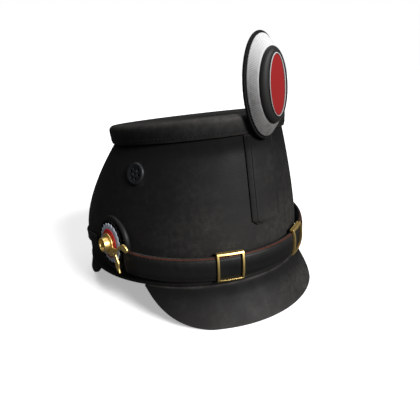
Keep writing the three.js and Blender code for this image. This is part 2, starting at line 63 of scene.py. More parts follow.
Colour = tuple[float, float, float]
Point = tuple[float, float]
Size = tuple[float, float, float]
Socket = Union[bpy.types.NodeSocket, float, tuple]


def lerp(low: float, high: float, share: float) -> float:
    """The value a share of the way from low to high."""
    return low + (high - low) * share


def smooth_share(value: float, start: float, end: float) -> float:
    """A share that leaves start and reaches end softly, from 0 to 1."""
    share = min(max((value - start) / (end - start), 0.0), 1.0)
    return share * share * (3 - 2 * share)


def shares(count: int) -> list[float]:
    """Evenly spaced shares from 0 to 1, both included."""
    return [step / (count - 1) for step in range(count)]


def through(points: Sequence[Sequence[float]], steps: int, closed: bool = False) -> list[tuple[float, ...]]:
    """A smooth line through points of any dimension.

    Args:
        points: The points that the line passes through, in order.
        steps: How many short stretches replace each stretch between two points.
        closed: Whether the last point is joined to the first.

    Returns:
        The points of the smooth line.
    """
    count = len(points)
    line = []
    for place in range(count if closed else count - 1):
        def near(offset: int) -> Sequence[float]:
            """The point that many places on, held at the ends of an open line."""
            index = place + offset
            return points[index % count] if closed else points[min(max(index, 0), count - 1)]

        before, start, end, after = near(-1), near(0), near(1), near(2)
        for step in range(steps):
            t = step / steps
            line.append(tuple(
                0.5 * (2 * b + (c - a) * t + (2 * a - 5 * b + 4 * c - d) * t ** 2
                       + (3 * b - a - 3 * c + d) * t ** 3)
                for a, b, c, d in zip(before, start, end, after)
            ))
    if not closed:
        line.append(tuple(points[-1]))
    return line


class Side(Enum):
    """The wearer's two sides, by the sign of x."""

    RIGHT = -1
    LEFT = 1

    @property
    def word(self) -> str:
        """The side's name as the pieces carry it."""
        return self.name.lower()


@dataclass(frozen=True)
class Level:
    """The body's outside at one height."""

    z: float
    half_width: float
    half_length: float
    centre: float
    slope: float = 0.0


@dataclass(frozen=True)
class Ring:
    """One oval ring of a stack, with its tilt about X."""

    half_x: float
    half_y: float
    z: float
    y: float = 0.0
    tilt: float = 0.0


@dataclass(frozen=True)
class BodyShape:
    """The bell-shaped body that everything else is laid on."""

    rim: Level = Level(0.0, 91.2, 104.0, 0.0)
    belly: Level = Level(27.0, 90.7, 105.3, -0.6)
    neck: Level = Level(103.5, 67.1, 75.4, -26.0)
    curve: float = 1.52
    top_slope: float = -0.04
    nudge: float = 0.05
    settling: int = 4
    search: Point = (-30.0, 15.0)
    halvings: int = 26

    def level(self, z: float) -> Level:
        """The body's outside at a height.

        Args:
            z: The height over the rim.

        Returns:
            The half axes, the centre and the slope there.
        """
        low = z < self.belly.z
        start, end = (self.rim, self.belly) if low else (self.belly, self.neck)
        share = min((z - start.z) / (end.z - start.z), 1.0)
        turn_in = share if low else share ** self.curve
        return Level(
            z,
            lerp(start.half_width, end.half_width, turn_in),
            lerp(start.half_length, end.half_length, turn_in),
            lerp(start.centre, end.centre, turn_in),
            0.0 if low else self.top_slope * turn_in,
        )

    def ring(self, z: float, out: float = 0.0) -> Ring:
        """The body's outside at a height as a ring of a stack."""
        level = self.level(z)
        return Ring(level.half_width + out, level.half_length + out, z, level.centre, math.atan(level.slope))

    def point(self, turn: float, z: float, out: float = 0.0) -> Vector:
        """A point off the body.

        Args:
            turn: The angle from the front towards the wearer's left.
            z: The height at the middle of the body.
            out: How far the point stands off the outside.

        Returns:
            The point in the hat's frame.
        """
        level = self.level(z)
        back = -(level.half_length + out) * math.cos(turn)
        side = (level.half_width + out) * math.sin(turn)
        return Vector((side, level.centre + back, z + level.slope * back))

    def front_point(self, x: float, z: float, out: float) -> Vector:
        """A point off the front, by its distance from the middle."""
        return self.point(math.asin(x / (self.level(z).half_width + out)), z, out)

    def axes(self, turn: float, z: float, reach: float = 1.0) -> tuple[Vector, Vector, Vector]:
        """The directions of the wall at a point.

        Args:
            turn: The angle from the front.
            z: The height.
            reach: How far above and below the point the wall is read.

        Returns:
            The directions along the wall, up the wall and straight out of it.
        """
        up = (self.point(turn, z + reach) - self.point(turn, z - reach)).normalized()
        along = (self.point(turn + self.nudge, z) - self.point(turn - self.nudge, z)).normalized()
        out = along.cross(up).normalized()
        return up.cross(out), up, out

    def place(self, side: Side, degrees: float, z: float, reach: float) -> Matrix:
        """The place of a side fitting.

        Args:
            side: The side of the hat.
            degrees: The angle from the front.
            z: The height.
            reach: How far above and below the fitting the wall is read.

        Returns:
            The place, with x along the wall, y up the wall and z out of it.
        """
        turn = side.value * math.radians(degrees)
        across, up, out = self.axes(turn, z, reach)
        facing = Matrix((across, up, out)).transposed().to_4x4()
        return Matrix.Translation(self.point(turn, z)) @ facing

    def outside(self, point: Vector) -> float:
        """How far a point lies outside the body.

        Args:
            point: The point in the hat's frame.

        Returns:
            The distance as a share of the outline, negative inside.
        """
        level = self.level(point.z)
        for _ in range(self.settling):
            level = self.level(point.z - level.slope * (point.y - level.centre))
        return math.hypot(point.x / level.half_width, (point.y - level.centre) / level.half_length) - 1

    def height_over(self, place: Matrix, x: float, y: float) -> float:
        """The height of the body over a fitting's own base plane, found by halving.

        Args:
            place: The fitting's place.
            x: The distance along the wall in the fitting's frame.
            y: The distance up the wall in the fitting's frame.

        Returns:
            The height out of the wall.
        """
        low, high = self.search
        for _ in range(self.halvings):
            middle = (low + high) / 2
            if self.outside(place @ Vector((x, y, middle))) > 0:
                high = middle
            else:
                low = middle
        return low


@dataclass(frozen=True)
class Stand:
    """How the hat stands: the lower edges of both peaks lie on the floor."""

    front_edge: Point = (-118.1, -31.0)
    rear_edge: Point = (109.6, -20.0)

    @property
    def slope(self) -> float:
        """The rise of the stand's plane from the front to the rear, in the hat's frame."""
        return (self.rear_edge[1] - self.front_edge[1]) / (self.rear_edge[0] - self.front_edge[0])

    def depth(self, y: float) -> float:
        """How deep the stand's plane lies below the rim."""
        return -self.front_edge[1] - (y - self.front_edge[0]) * self.slope

    def matrix(self) -> Matrix:
        """The hat's place in the frame.

        Returns:
            The matrix from the hat's millimetres to the frame's metres.
        """
        turn = Matrix.Rotation(-math.atan(self.slope), 4, "X")
        front = turn @ Vector((0, *self.front_edge))
        front_of_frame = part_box("front_peak")[0].y / MM
        shift = Matrix.Translation((0, front_of_frame - front.y, -front.z))
        return Matrix.Scale(MM, 4) @ shift @ turn


BODY = BodyShape()
STAND = Stand()


# Modelling steps that every piece shares

def deselect_all() -> None:
    """Leaves edit mode with nothing selected."""
    if bpy.context.object is not None and bpy.context.object.mode != "OBJECT":
        bpy.ops.object.mode_set(mode="OBJECT")
    bpy.ops.object.select_all(action="DESELECT")


def take(piece: bpy.types.Object) -> None:
    """Makes a piece the only one selected.

    Args:
        piece: The piece.
    """
    deselect_all()
    piece.select_set(True)
    bpy.context.view_layer.objects.active = piece


def primitive(kind: str, **sizes: object) -> bpy.types.Object:
    """Adds a primitive to start from, with nothing else selected.

    Args:
        kind: The primitive's name in Blender.
        sizes: Its settings.

    Returns:
        The new piece.
    """
    deselect_all()
    getattr(bpy.ops.mesh, f"primitive_{kind}_add")(**sizes)
    return bpy.context.object


def apply_place(piece: bpy.types.Object) -> None:
    """Moves a piece's place into its mesh."""
    take(piece)
    bpy.ops.object.transform_apply(location=True, rotation=True, scale=True)


def block(size: Size, middle: Sequence[float]) -> bpy.types.Object:
    """A block to shape or to cut with.

    Args:
        size: Its width, length and height.
        middle: Its middle.

    Returns:
        The block.
    """
    piece = primitive("cube", size=1.0, location=middle)
    piece.scale = size
    apply_place(piece)
    return piece


def edit(piece: bpy.types.Object) -> None:
    """Opens a piece in edit mode with all of it selected.

    Args:
        piece: The piece.
    """
    take(piece)
    bpy.ops.object.mode_set(mode="EDIT")
    bpy.ops.mesh.select_all(action="SELECT")


def edit_faces(piece: bpy.types.Object, wanted: Callable[[bpy.types.MeshPolygon], bool]) -> None:
    """Opens a piece in edit mode with some faces selected.

    Args:
        piece: The piece.
        wanted: Says whether a face is selected.
    """
    edit(piece)
    bpy.ops.mesh.select_all(action="DESELECT")
    bpy.ops.object.mode_set(mode="OBJECT")
    for face in piece.data.polygons:
        face.select = wanted(face)
    bpy.ops.object.mode_set(mode="EDIT")


def close_edit() -> None:
    """Points all faces outwards and leaves edit mode."""
    bpy.ops.mesh.select_all(action="SELECT")
    bpy.ops.mesh.normals_make_consistent(inside=False)
    bpy.ops.object.mode_set(mode="OBJECT")


def modify(piece: bpy.types.Object, kind: str, **settings: object) -> None:
    """Adds a modifier and applies it.

    Args:
        piece: The piece.
        kind: The modifier's type.
        settings: The modifier's own properties.
    """
    take(piece)
    modifier = piece.modifiers.new(kind.lower(), kind)
    for setting, value in settings.items():
        setattr(modifier, setting, value)
    bpy.ops.object.modifier_apply(modifier=modifier.name)


def round_edges(piece: bpy.types.Object, width: float, segments: int, degrees: float) -> None:
    """Rounds the edges of a piece that are sharper than an angle."""
    modify(piece, "BEVEL", width=width, segments=segments, limit_method="ANGLE",
           angle_limit=math.radians(degrees))


def cut_with(piece: bpy.types.Object, tools: Iterable[bpy.types.Object]) -> None:
    """Cuts tools out of a piece and throws the tools away.

    Args:
        piece: The piece.
        tools: The tools, in order.
    """
    for tool in tools:
        modify(piece, "BOOLEAN", operation="DIFFERENCE", solver="EXACT", object=tool)
        bpy.data.objects.remove(tool)


def join(pieces: Sequence[bpy.types.Object]) -> bpy.types.Object:
    """Joins pieces into the first of them.

    Args:
        pieces: The pieces, at least two.

    Returns:
        The first piece.
    """
    deselect_all()
    for piece in pieces:
        piece.select_set(True)
    bpy.context.view_layer.objects.active = pieces[0]
    bpy.ops.object.join()
    return pieces[0]


class Ends(Enum):
    """How the two ends of a stack of rings are closed."""

    CAPPED = "a flat face on each end"
    JOINED = "the last ring is joined to the first"


def ring_stack(rings: Sequence[Ring], around: int, ends: Ends) -> bpy.types.Object:
    """Models a skin ring by ring: a circle is extruded, sized, tilted and moved for each next ring.

    Args:
        rings: The rings in order, at least two.
        around: How many points each ring has.
        ends: How the first and the last ring are closed.

    Returns:
        The closed skin.
    """
    fill = "NGON" if ends is Ends.CAPPED else "NOTHING"
    piece = primitive("circle", vertices=around, radius=1.0, fill_type=fill)
    edit(piece)
    held = Ring(1.0, 1.0, 0.0)
    for number, ring in enumerate(rings):
        if number:
            bpy.ops.mesh.extrude_region_move()
        middle = (0.0, held.y, held.z)
        long = ring.half_y / held.half_y
        bpy.ops.transform.resize(value=(ring.half_x / held.half_x, long, long), center_override=middle)
        if ring.tilt != held.tilt:
            bpy.ops.transform.rotate(value=held.tilt - ring.tilt, orient_axis="X", center_override=middle)
        bpy.ops.transform.translate(value=(0.0, ring.y - held.y, ring.z - held.z))
        held = ring
    if ends is Ends.JOINED:
        bpy.ops.mesh.select_all(action="DESELECT")
        bpy.ops.mesh.select_mode(type="EDGE")
        bpy.ops.mesh.select_non_manifold()
        bpy.ops.mesh.bridge_edge_loops()
        bpy.ops.mesh.select_mode(type="VERT")
    close_edit()
    return piece


def turned(profile: Sequence[Point], around: int, ends: Ends) -> bpy.types.Object:
    """A round piece about its own z axis, from rows of radius and height."""
    return ring_stack([Ring(radius, radius, z) for radius, z in profile], around, ends)


def loft(stations: Sequence[Sequence[Vector]], finish_rows: Sequence[int] = ()) -> bpy.types.Object:
    """Lofts a closed skin through sections: a grid is bent into a tube and its ends are filled.

    Args:
        stations: The sections in order, each a closed line with the same number of points.
        finish_rows: The section's stretches that take the piece's second finish.

    Returns:
        The closed skin.
    """
    across, along = len(stations[0]), len(stations) - 1
    piece = primitive("grid", x_subdivisions=across, y_subdivisions=along, size=2.0)
    for face in piece.data.polygons:
        row = int((face.center.x + 1) / 2 * across)
        face.material_index = 1 if row in finish_rows else 0
    for vertex in piece.data.vertices:
        row = round((vertex.co.x + 1) / 2 * across) % across
        vertex.co = stations[round((vertex.co.y + 1) / 2 * along)][row]
    edit(piece)
    bpy.ops.mesh.remove_doubles(threshold=GAP / 100)
    bpy.ops.mesh.fill_holes(sides=0)
    close_edit()
    return piece


def dress(
    piece: bpy.types.Object,
    name: str,
    finishes: Sequence[bpy.types.Material],
    nodes: Sequence[str] = (),
    place: Matrix | None = None,
    sharp: float = 50.0,
) -> None:
    """Sets a piece down in the frame, gives it its name and finishes and binds it to the frame.

    Args:
        piece: The finished mesh.
        name: The piece's name.
        finishes: The materials, in the order of the mesh's material numbers.
        nodes: The solids that the piece stands for.
        place: The piece's place on the hat, where it was modelled in a frame of its own.
        sharp: The angle in degrees from which an edge is shaded sharp.
    """
    piece.matrix_world = STAND.matrix() if place is None else STAND.matrix() @ place
    apply_place(piece)
    bpy.ops.object.shade_smooth_by_angle(angle=math.radians(sharp))
    piece.name = name
    piece.data.name = name
    for finish in finishes:
        piece.data.materials.append(finish)
    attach(piece, CARRIER)
    if nodes:
        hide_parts(*nodes)
    LOG.info("%s: %d faces", name, len(piece.data.polygons))


# Shader nodes

class NodeSheet:
    """Adds and links the nodes of one shader tree."""

    def __init__(self, tree: bpy.types.NodeTree) -> None:
        """Keeps the tree that nodes are added to."""
        self.tree = tree

    def add(self, kind: str, inputs: dict[Union[str, int], Socket] | None = None,
            **settings: object) -> bpy.types.Node:
        """Adds a node.

        Args:
            kind: The node's type.
            inputs: Values or linked sockets by input name or number.
            settings: The node's own properties.

        Returns:
            The new node.
        """
        node = self.tree.nodes.new(kind)
        for setting, value in settings.items():
            setattr(node, setting, value)
        for key, value in (inputs or {}).items():
            if isinstance(value, bpy.types.NodeSocket):
                self.tree.links.new(value, node.inputs[key])
            else:
                node.inputs[key].default_value = value
        return node

    def math(self, operation: str, first: Socket, second: Socket = 0.0) -> bpy.types.NodeSocket:
        """The result of a sum of two values."""
        return self.add("ShaderNodeMath", {0: first, 1: second}, operation=operation).outputs[0]

    def noise(self, vector: Socket, scale: Socket, detail: float = 3.0) -> bpy.types.NodeSocket:
        """Soft noise about one half."""
        inputs = {"Vector": vector, "Scale": scale, "Detail": detail, "Roughness": 0.6}
        return self.add("ShaderNodeTexNoise", inputs).outputs[0]

    def spread(self, value: Socket, low: Socket, high: Socket, to_low: Socket = 0.0,
               to_high: Socket = 1.0) -> bpy.types.NodeSocket:
        """A value drawn out softly from one span to another and held at its ends."""
        inputs = {"Value": value, "From Min": low, "From Max": high, "To Min": to_low, "To Max": to_high}
        return self.add("ShaderNodeMapRange", inputs, interpolation_type="SMOOTHSTEP").outputs[0]

    def blend(self, share: Socket, first: Socket, second: Socket) -> bpy.types.NodeSocket:
        """Two colours mixed by a share."""
        inputs = {0: share, 6: first, 7: second}
        return self.add("ShaderNodeMix", inputs, data_type="RGBA").outputs[2]

    def give(self, result: bpy.types.Node, **sockets: bpy.types.NodeSocket) -> bpy.types.NodeTree:
        """Links what a group puts out.

        Args:
            result: The group's output node.
            sockets: The sockets to link, by the name of the output.

        Returns:
            The group's tree.
        """
        for name, socket in sockets.items():
            self.tree.links.new(socket, result.inputs[name])
        return self.tree


def new_group(name: str, inputs: Sequence[str], outputs: Sequence[str]) -> tuple[
        NodeSheet, bpy.types.Node, bpy.types.Node]:
    """Starts a shader group that is laid out by a vector.

    Args:
        name: The group's name.
        inputs: The names of its other input sockets.
        outputs: The names of its output sockets.

    Returns:
        The group's sheet, its input node and its output node.
    """
    tree = bpy.data.node_groups.new(name, "ShaderNodeTree")
    tree.interface.new_socket("Vector", in_out="INPUT", socket_type="NodeSocketVector")
    for way, sockets in (("INPUT", inputs), ("OUTPUT", outputs)):
        for socket in sockets:
            tree.interface.new_socket(socket, in_out=way, socket_type="NodeSocketFloat")
    sheet = NodeSheet(tree)
    return sheet, sheet.add("NodeGroupInput"), sheet.add("NodeGroupOutput")


class Effects:
    """Surface effects that several finishes share, each a shader group made once."""

    def __init__(self) -> None:
        """Makes the groups."""
        self.grain = self._grain()
        self.mottle = self._mottle()
        self.wear = self._wear()
        self.weave = self._weave()

    @staticmethod
    def _grain() -> bpy.types.NodeTree:
        """Leather grain: pebbles with creases between them, and fine pores.

        Returns:
            The group's tree.
        """
        sheet, given, result = new_group("leather_grain", ["Scale"], ["Height"])
        coarse, fine, bend, crease, pebble_height, pore_height = 0.35, 2.6, 1.1, 0.32, 0.7, 0.5
        vector, scale = given.outputs["Vector"], given.outputs["Scale"]
        wander = sheet.add("ShaderNodeTexNoise", {
            "Vector": vector, "Scale": sheet.math("MULTIPLY", scale, coarse), "Detail": 2.0})
        shift = sheet.add("ShaderNodeVectorMath", {
            0: wander.outputs["Color"], 3: sheet.math("DIVIDE", bend, scale)}, operation="SCALE")
        bent = sheet.add("ShaderNodeVectorMath", {0: vector, 1: shift.outputs[0]})
        cells = sheet.add("ShaderNodeTexVoronoi", {
            "Vector": bent.outputs[0], "Scale": scale}, feature="DISTANCE_TO_EDGE")
        pebbles = sheet.spread(cells.outputs["Distance"], 0.0, crease)
        pores = sheet.noise(vector, sheet.math("MULTIPLY", scale, fine), 2.0)
        raised = sheet.math("MULTIPLY", pebbles, pebble_height)
        height = sheet.math("ADD", raised, sheet.math("MULTIPLY", pores, pore_height))
        return sheet.give(result, Height=height)

    @staticmethod
    def _mottle() -> bpy.types.NodeTree:
        """Cloudy patches with smaller blotches in them.

        Returns:
            The group's tree.
        """
        sheet, given, result = new_group("mottle", ["Scale"], ["Mask"])
        vector, scale = given.outputs["Vector"], given.outputs["Scale"]
        finer, part, least = 9.0, 0.9, 0.2
        clouds = sheet.spread(sheet.noise(vector, scale, 4.0), 0.34, 0.66)
        blotches = sheet.spread(sheet.noise(vector, sheet.math("MULTIPLY", scale, finer), 6.0), 0.34, 0.7)
        filled = sheet.math("ADD", sheet.math("MULTIPLY", blotches, part), least)
        mask = sheet.math("MULTIPLY", clouds, filled)
        return sheet.give(result, Mask=mask)

    @staticmethod
    def _wear() -> bpy.types.NodeTree:
        """Rubbed edges and dirty hollows, from how sharply the surface bends.

        Returns:
            The group's tree.
        """
        sheet, given, result = new_group("edge_wear", ["Scale", "Reach"], ["Edge", "Hollow"])
        bend = sheet.add("ShaderNodeNewGeometry").outputs["Pointiness"]
        flat, slack, least = 0.5, 0.005, 0.25
        vector, scale, reach = (given.outputs[name] for name in ("Vector", "Scale", "Reach"))
        patches = sheet.spread(sheet.noise(vector, scale, 4.0), 0.3, 0.7, least)
        edge = sheet.spread(bend, flat + slack, sheet.math("ADD", flat + slack, reach))
        hollow = sheet.spread(bend, flat - slack, sheet.math("SUBTRACT", flat - slack, reach))
        return sheet.give(result, Edge=sheet.math("MULTIPLY", edge, patches), Hollow=hollow)

    @staticmethod
    def _weave() -> bpy.types.NodeTree:
        """Plain weave in the plane of the front, with threads that vary a little.

        Returns:
            The group's tree.
        """
        sheet, given, result = new_group("weave", ["Threads"], ["Height"])
        vector, threads = given.outputs["Vector"], given.outputs["Threads"]
        parts = sheet.add("ShaderNodeSeparateXYZ", {0: vector})
        rate = sheet.math("MULTIPLY", threads, HALF_TURN)
        coarse, sway_by = 0.12, 2.2
        uneven = sheet.noise(vector, sheet.math("MULTIPLY", threads, coarse), 2.0)
        sway = sheet.math("MULTIPLY", uneven, sway_by)
        warp = sheet.math("SINE", sheet.math("ADD", sheet.math("MULTIPLY", parts.outputs["X"], rate), sway))
        weft = sheet.math("SINE", sheet.math("ADD", sheet.math("MULTIPLY", parts.outputs["Z"], rate), sway))
        height = sheet.math("ADD", sheet.math("MULTIPLY", sheet.math("MULTIPLY", warp, weft), 0.5), 0.5)
        return sheet.give(result, Height=height)


class Finish:
    """A material under construction: its sheet, its shader and its coordinates."""

    def __init__(self, name: str) -> None:
        """Starts a material with one shader.

        Args:
            name: The material's name.
        """
        self.material = bpy.data.materials.new(name)
        self.material.use_nodes = True
        self.sheet = NodeSheet(self.material.node_tree)
        self.shader = self.material.node_tree.nodes["Principled BSDF"]
        self.place = self.sheet.add("ShaderNodeTexCoord").outputs["Object"]

    def effect(self, group: bpy.types.NodeTree, **inputs: Socket) -> bpy.types.Node:
        """Places a shared effect, on the piece's own coordinates."""
        return self.sheet.add("ShaderNodeGroup", {"Vector": self.place} | inputs, node_tree=group)

    def colour(self, socket: bpy.types.NodeSocket) -> None:
        """Links the base colour."""
        self.sheet.tree.links.new(socket, self.shader.inputs["Base Color"])

    def roughness(self, socket: bpy.types.NodeSocket) -> None:
        """Links the roughness."""
        self.sheet.tree.links.new(socket, self.shader.inputs["Roughness"])

    def relief(self, height: bpy.types.NodeSocket, depth: float, strength: float,
               under: bpy.types.NodeSocket | None = None) -> bpy.types.NodeSocket:
        """Links a bump.

        Args:
            height: The relief's height, from 0 to 1.
            depth: Its depth in millimetres.
            strength: How much of it shows.
            under: The normal of a bump that this one lies on.

        Returns:
            The bump's normal.
        """
        inputs = {"Height": height, "Distance": depth * MM, "Strength": strength}
        if under is not None:
            inputs["Normal"] = under
        normal = self.sheet.add("ShaderNodeBump", inputs).outputs["Normal"]
        self.sheet.tree.links.new(normal, self.shader.inputs["Normal"])
        return normal

    def fix(self, **values: Union[float, tuple]) -> None:
        """Sets plain values on the shader's own sockets; names are written with _ for spaces."""
        for name, value in values.items():
            self.shader.inputs[name.replace("_", " ")].default_value = value


def rgba(colour: Colour) -> tuple[float, float, float, float]:
    """A colour with full cover."""
    return (*colour, 1.0)


@dataclass(frozen=True)
class Look:
    """A finish by its name; each kind has its own way to paint."""

    name: str

    def material(self, effects: Effects) -> bpy.types.Material:
        """Makes the material.

        Args:
            effects: The shared surface effects.

        Returns:
            The material.
        """
        finish = Finish(self.name)
        self.paint(finish, finish.sheet, effects)
        return finish.material

    def paint(self, finish: Finish, sheet: NodeSheet, effects: Effects) -> None:
        """Adds the nodes of the finish."""
        raise NotImplementedError


@dataclass(frozen=True)
class Leather(Look):
    """Black waxed leather with pale clouds and rubbed edges, painted lighter and darker by its height over
    the floor and lighter at the front, as painted light and shade.
    """

    deep: Colour
    painted_lit_colour: Colour
    rubbed: Colour
    # Painted light and shade: levels give the share of the painted lit colour by height in mm, sides the
    # share left at the back.
    levels: tuple[Point, ...] = ((0.0, 0.5), (200.0, 0.5))
    lean: float = 0.06
    sides: float = 0.38
    handled: Point = (-50.0, -100.0)
    matt: float = 0.68
    shine: float = 0.54
    polish_scale: float = 60.0
    polish_edges: Point = (0.25, 0.75)
    dusty: float = 0.25
    dusty_below: float = 0.25
    cloud_scale: float = 26.0
    clouds: Point = (0.8, 0.6)
    rub_scale: float = 90.0
    rub_reach: float = 0.06
    grain: float = 900.0
    grain_depth: float = 0.08
    wave_scale: float = 48.0
    waves: float = 0.35
    specular: float = 0.18

    def paint(self, finish: Finish, sheet: NodeSheet, effects: Effects) -> None:
        """Adds the nodes of the finish.

        Args:
            finish: The material under construction.
            sheet: Its nodes.
            effects: The shared surface effects.
        """
        clouds = finish.effect(effects.mottle, Scale=self.cloud_scale).outputs["Mask"]
        rubs = finish.effect(effects.wear, Scale=self.rub_scale, Reach=self.rub_reach).outputs["Edge"]
        grain = finish.effect(effects.grain, Scale=self.grain).outputs["Height"]
        # The mask below is painted light and shade: lighter where the light falls, darker under the top and
        # at the back.
        wear = self._wear(finish, sheet)
        pale, plain = self.clouds
        clouded = sheet.math("ADD", sheet.math("MULTIPLY", clouds, pale), plain)
        base = sheet.blend(sheet.math("MULTIPLY", wear, clouded), rgba(self.deep), rgba(self.painted_lit_colour))
        finish.colour(sheet.blend(rubs, base, rgba(self.rubbed)))
        patches = sheet.noise(finish.place, self.polish_scale, detail=4.0)
        polish = sheet.spread(patches, *self.polish_edges, self.shine, self.matt)
        dust = sheet.spread(wear, self.dusty_below, 0.0, 0.0, self.dusty)
        finish.roughness(sheet.math("ADD", polish, dust))
        swell = sheet.noise(finish.place, self.wave_scale, detail=2.0)
        waves = finish.relief(swell, depth=self.waves, strength=0.5)
        finish.relief(grain, depth=self.grain_depth, strength=0.55, under=waves)
        finish.fix(Specular_IOR_Level=self.specular)

    def _wear(self, finish: Finish, sheet: NodeSheet) -> bpy.types.NodeSocket:
        """Painted light and shade: how far the leather is painted lighter, on levels that lean with the hat,
        and less on the sides.

        Args:
            finish: The material under construction.
            sheet: Its nodes.

        Returns:
            The share of wear, from 0 to 1.
        """
        parts = sheet.add("ShaderNodeSeparateXYZ", {0: finish.place})
        lean = sheet.math("MULTIPLY", parts.outputs["Y"], self.lean)
        height = sheet.math("ADD", parts.outputs["Z"], lean)
        top = self.levels[-1][0]
        ramp = sheet.add("ShaderNodeValToRGB", {"Fac": sheet.math("DIVIDE", height, top * MM)})
        ramp.color_ramp.interpolation = "EASE"
        steps = ramp.color_ramp.elements
        for _ in self.levels[2:]:
            steps.new(0.5)
        for step, (level, share) in zip(steps, self.levels):
            step.position = level / top
            step.color = rgba((share, share, share))
        # Painted light: the front is painted lighter than the sides and the back.
        back, front = (y * MM for y in self.handled)
        handled = sheet.spread(parts.outputs["Y"], back, front, self.sides, 1.0)
        return sheet.math("MULTIPLY", ramp.outputs["Color"], handled)


@dataclass(frozen=True)
class Fibre(Look):
    """Dull fibres, as on a cut edge of leather or on a waxed thread."""

    light: Colour
    dark: Colour
    scale: float = 260.0
    fuzz: float = 2400.0

    def paint(self, finish: Finish, sheet: NodeSheet, effects: Effects) -> None:
        """Adds the nodes of the finish.

        Args:
            finish: The material under construction.
            sheet: Its nodes.
            effects: The shared surface effects.
        """
        fibres = finish.effect(effects.mottle, Scale=self.scale).outputs["Mask"]
        finish.colour(sheet.blend(fibres, rgba(self.dark), rgba(self.light)))
        finish.relief(sheet.noise(finish.place, self.fuzz), depth=0.1, strength=0.6)
        finish.fix(Roughness=0.8, Specular_IOR_Level=0.06)


@dataclass(frozen=True)
class Suede(Look):
    """The rough inner side of the leather."""

    light: Colour
    dark: Colour
    scale: float = 18.0
    nap: float = 1500.0

    def paint(self, finish: Finish, sheet: NodeSheet, effects: Effects) -> None:
        """Adds the nodes of the finish.

        Args:
            finish: The material under construction.
            sheet: Its nodes.
            effects: The shared surface effects.
        """
        stains = finish.effect(effects.mottle, Scale=self.scale).outputs["Mask"]
        finish.colour(sheet.blend(stains, rgba(self.light), rgba(self.dark)))
        finish.relief(sheet.noise(finish.place, self.nap, detail=5.0), depth=0.2, strength=0.7)
        finish.fix(Roughness=0.9, Sheen_Weight=0.15)


@dataclass(frozen=True)
class Cloth(Look):
    """Fine woven cloth over a stiff form, darker towards its foot, partly as dirt, partly as painted shade.
    """

    clean: Colour
    dirt_and_shade: Colour
    threads: float = 1500.0
    depth: float = 0.12
    rough: float = 0.85
    sheen: float = 0.06
    specular: float = 0.2
    darker_below: Point = (105.0, 195.0)
    soil_scale: float = 40.0
    soil: float = 0.25
    hollow_shade: float = 0.28

    def paint(self, finish: Finish, sheet: NodeSheet, effects: Effects) -> None:
        """Adds the nodes of the finish.

        Args:
            finish: The material under construction.
            sheet: Its nodes.
            effects: The shared surface effects.
        """
        weave = finish.effect(effects.weave, Threads=self.threads).outputs["Height"]
        patches = finish.effect(effects.mottle, Scale=self.soil_scale).outputs["Mask"]
        soil = sheet.math("MULTIPLY", patches, self.soil)
        # Painted shade: the weave's hollows are painted darker.
        hollows = sheet.spread(weave, 0.55, 0.1, 0.0, self.hollow_shade)
        # Darker towards the foot: part dirt, part painted shade.
        height = sheet.add("ShaderNodeSeparateXYZ", {0: finish.place}).outputs["Z"]
        foot, top = self.darker_below
        foot_darkening = sheet.spread(height, top * MM, foot * MM)
        dirt_and_shade_mask = sheet.math("ADD", sheet.math("ADD", soil, hollows), foot_darkening)
        finish.colour(sheet.blend(dirt_and_shade_mask, rgba(self.clean), rgba(self.dirt_and_shade)))
        finish.relief(weave, depth=self.depth, strength=0.6)
        finish.fix(Roughness=self.rough, Sheen_Weight=self.sheen, Specular_IOR_Level=self.specular)


@dataclass(frozen=True)
class Brass(Look):
    """Polished brass with dull hollows and fine scratches."""

    bright: Colour
    dull: Colour
    shine: float = 0.42
    matt: float = 0.54
    patina: float = 0.4
    patina_scale: float = 150.0
    scratches: float = 1800.0
    drawn_out: Size = (1.0, 1.0, 9.0)

    def paint(self, finish: Finish, sheet: NodeSheet, effects: Effects) -> None:
        """Adds the nodes of the finish.

        Args:
            finish: The material under construction.
            sheet: Its nodes.
            effects: The shared surface effects.
        """
        hollows = finish.effect(effects.wear, Scale=320.0, Reach=0.08).outputs["Hollow"]
        patches = finish.effect(effects.mottle, Scale=self.patina_scale).outputs["Mask"]
        dullness = sheet.math("MAXIMUM", hollows, sheet.math("MULTIPLY", patches, self.patina))
        finish.colour(sheet.blend(dullness, rgba(self.bright), rgba(self.dull)))
        finish.roughness(sheet.spread(dullness, 0.0, 1.0, self.shine, self.matt))
        lines = sheet.add("ShaderNodeMapping", {"Vector": finish.place, "Scale": self.drawn_out})
        finish.relief(sheet.noise(lines.outputs[0], self.scratches), depth=0.01, strength=0.2)
        finish.fix(Metallic=1.0)


@dataclass(frozen=True)
class Paint(Look):
    """Paint or blackening on metal, thinner along the edges."""

    coat: Colour
    bare: Colour
    rough: float = 0.4
    metal: float = 0.0
    specular: float = 0.35
    uneven: Point = (-0.06, 0.1)
    patch_scale: float = 120.0
    ripple: float = 1100.0

    def paint(self, finish: Finish, sheet: NodeSheet, effects: Effects) -> None:
        """Adds the nodes of the finish.

        Args:
            finish: The material under construction.
            sheet: Its nodes.
            effects: The shared surface effects.
        """
        edges = finish.effect(effects.wear, Scale=400.0, Reach=0.1).outputs["Edge"]
        patches = finish.effect(effects.mottle, Scale=self.patch_scale).outputs["Mask"]
        finish.colour(sheet.blend(edges, rgba(self.coat), rgba(self.bare)))
        low, high = (self.rough + change for change in self.uneven)
        finish.roughness(sheet.spread(patches, 0.0, 1.0, low, high))
        finish.relief(sheet.noise(finish.place, self.ripple), depth=0.03, strength=0.3)
        finish.fix(Metallic=self.metal, Specular_IOR_Level=self.specular)


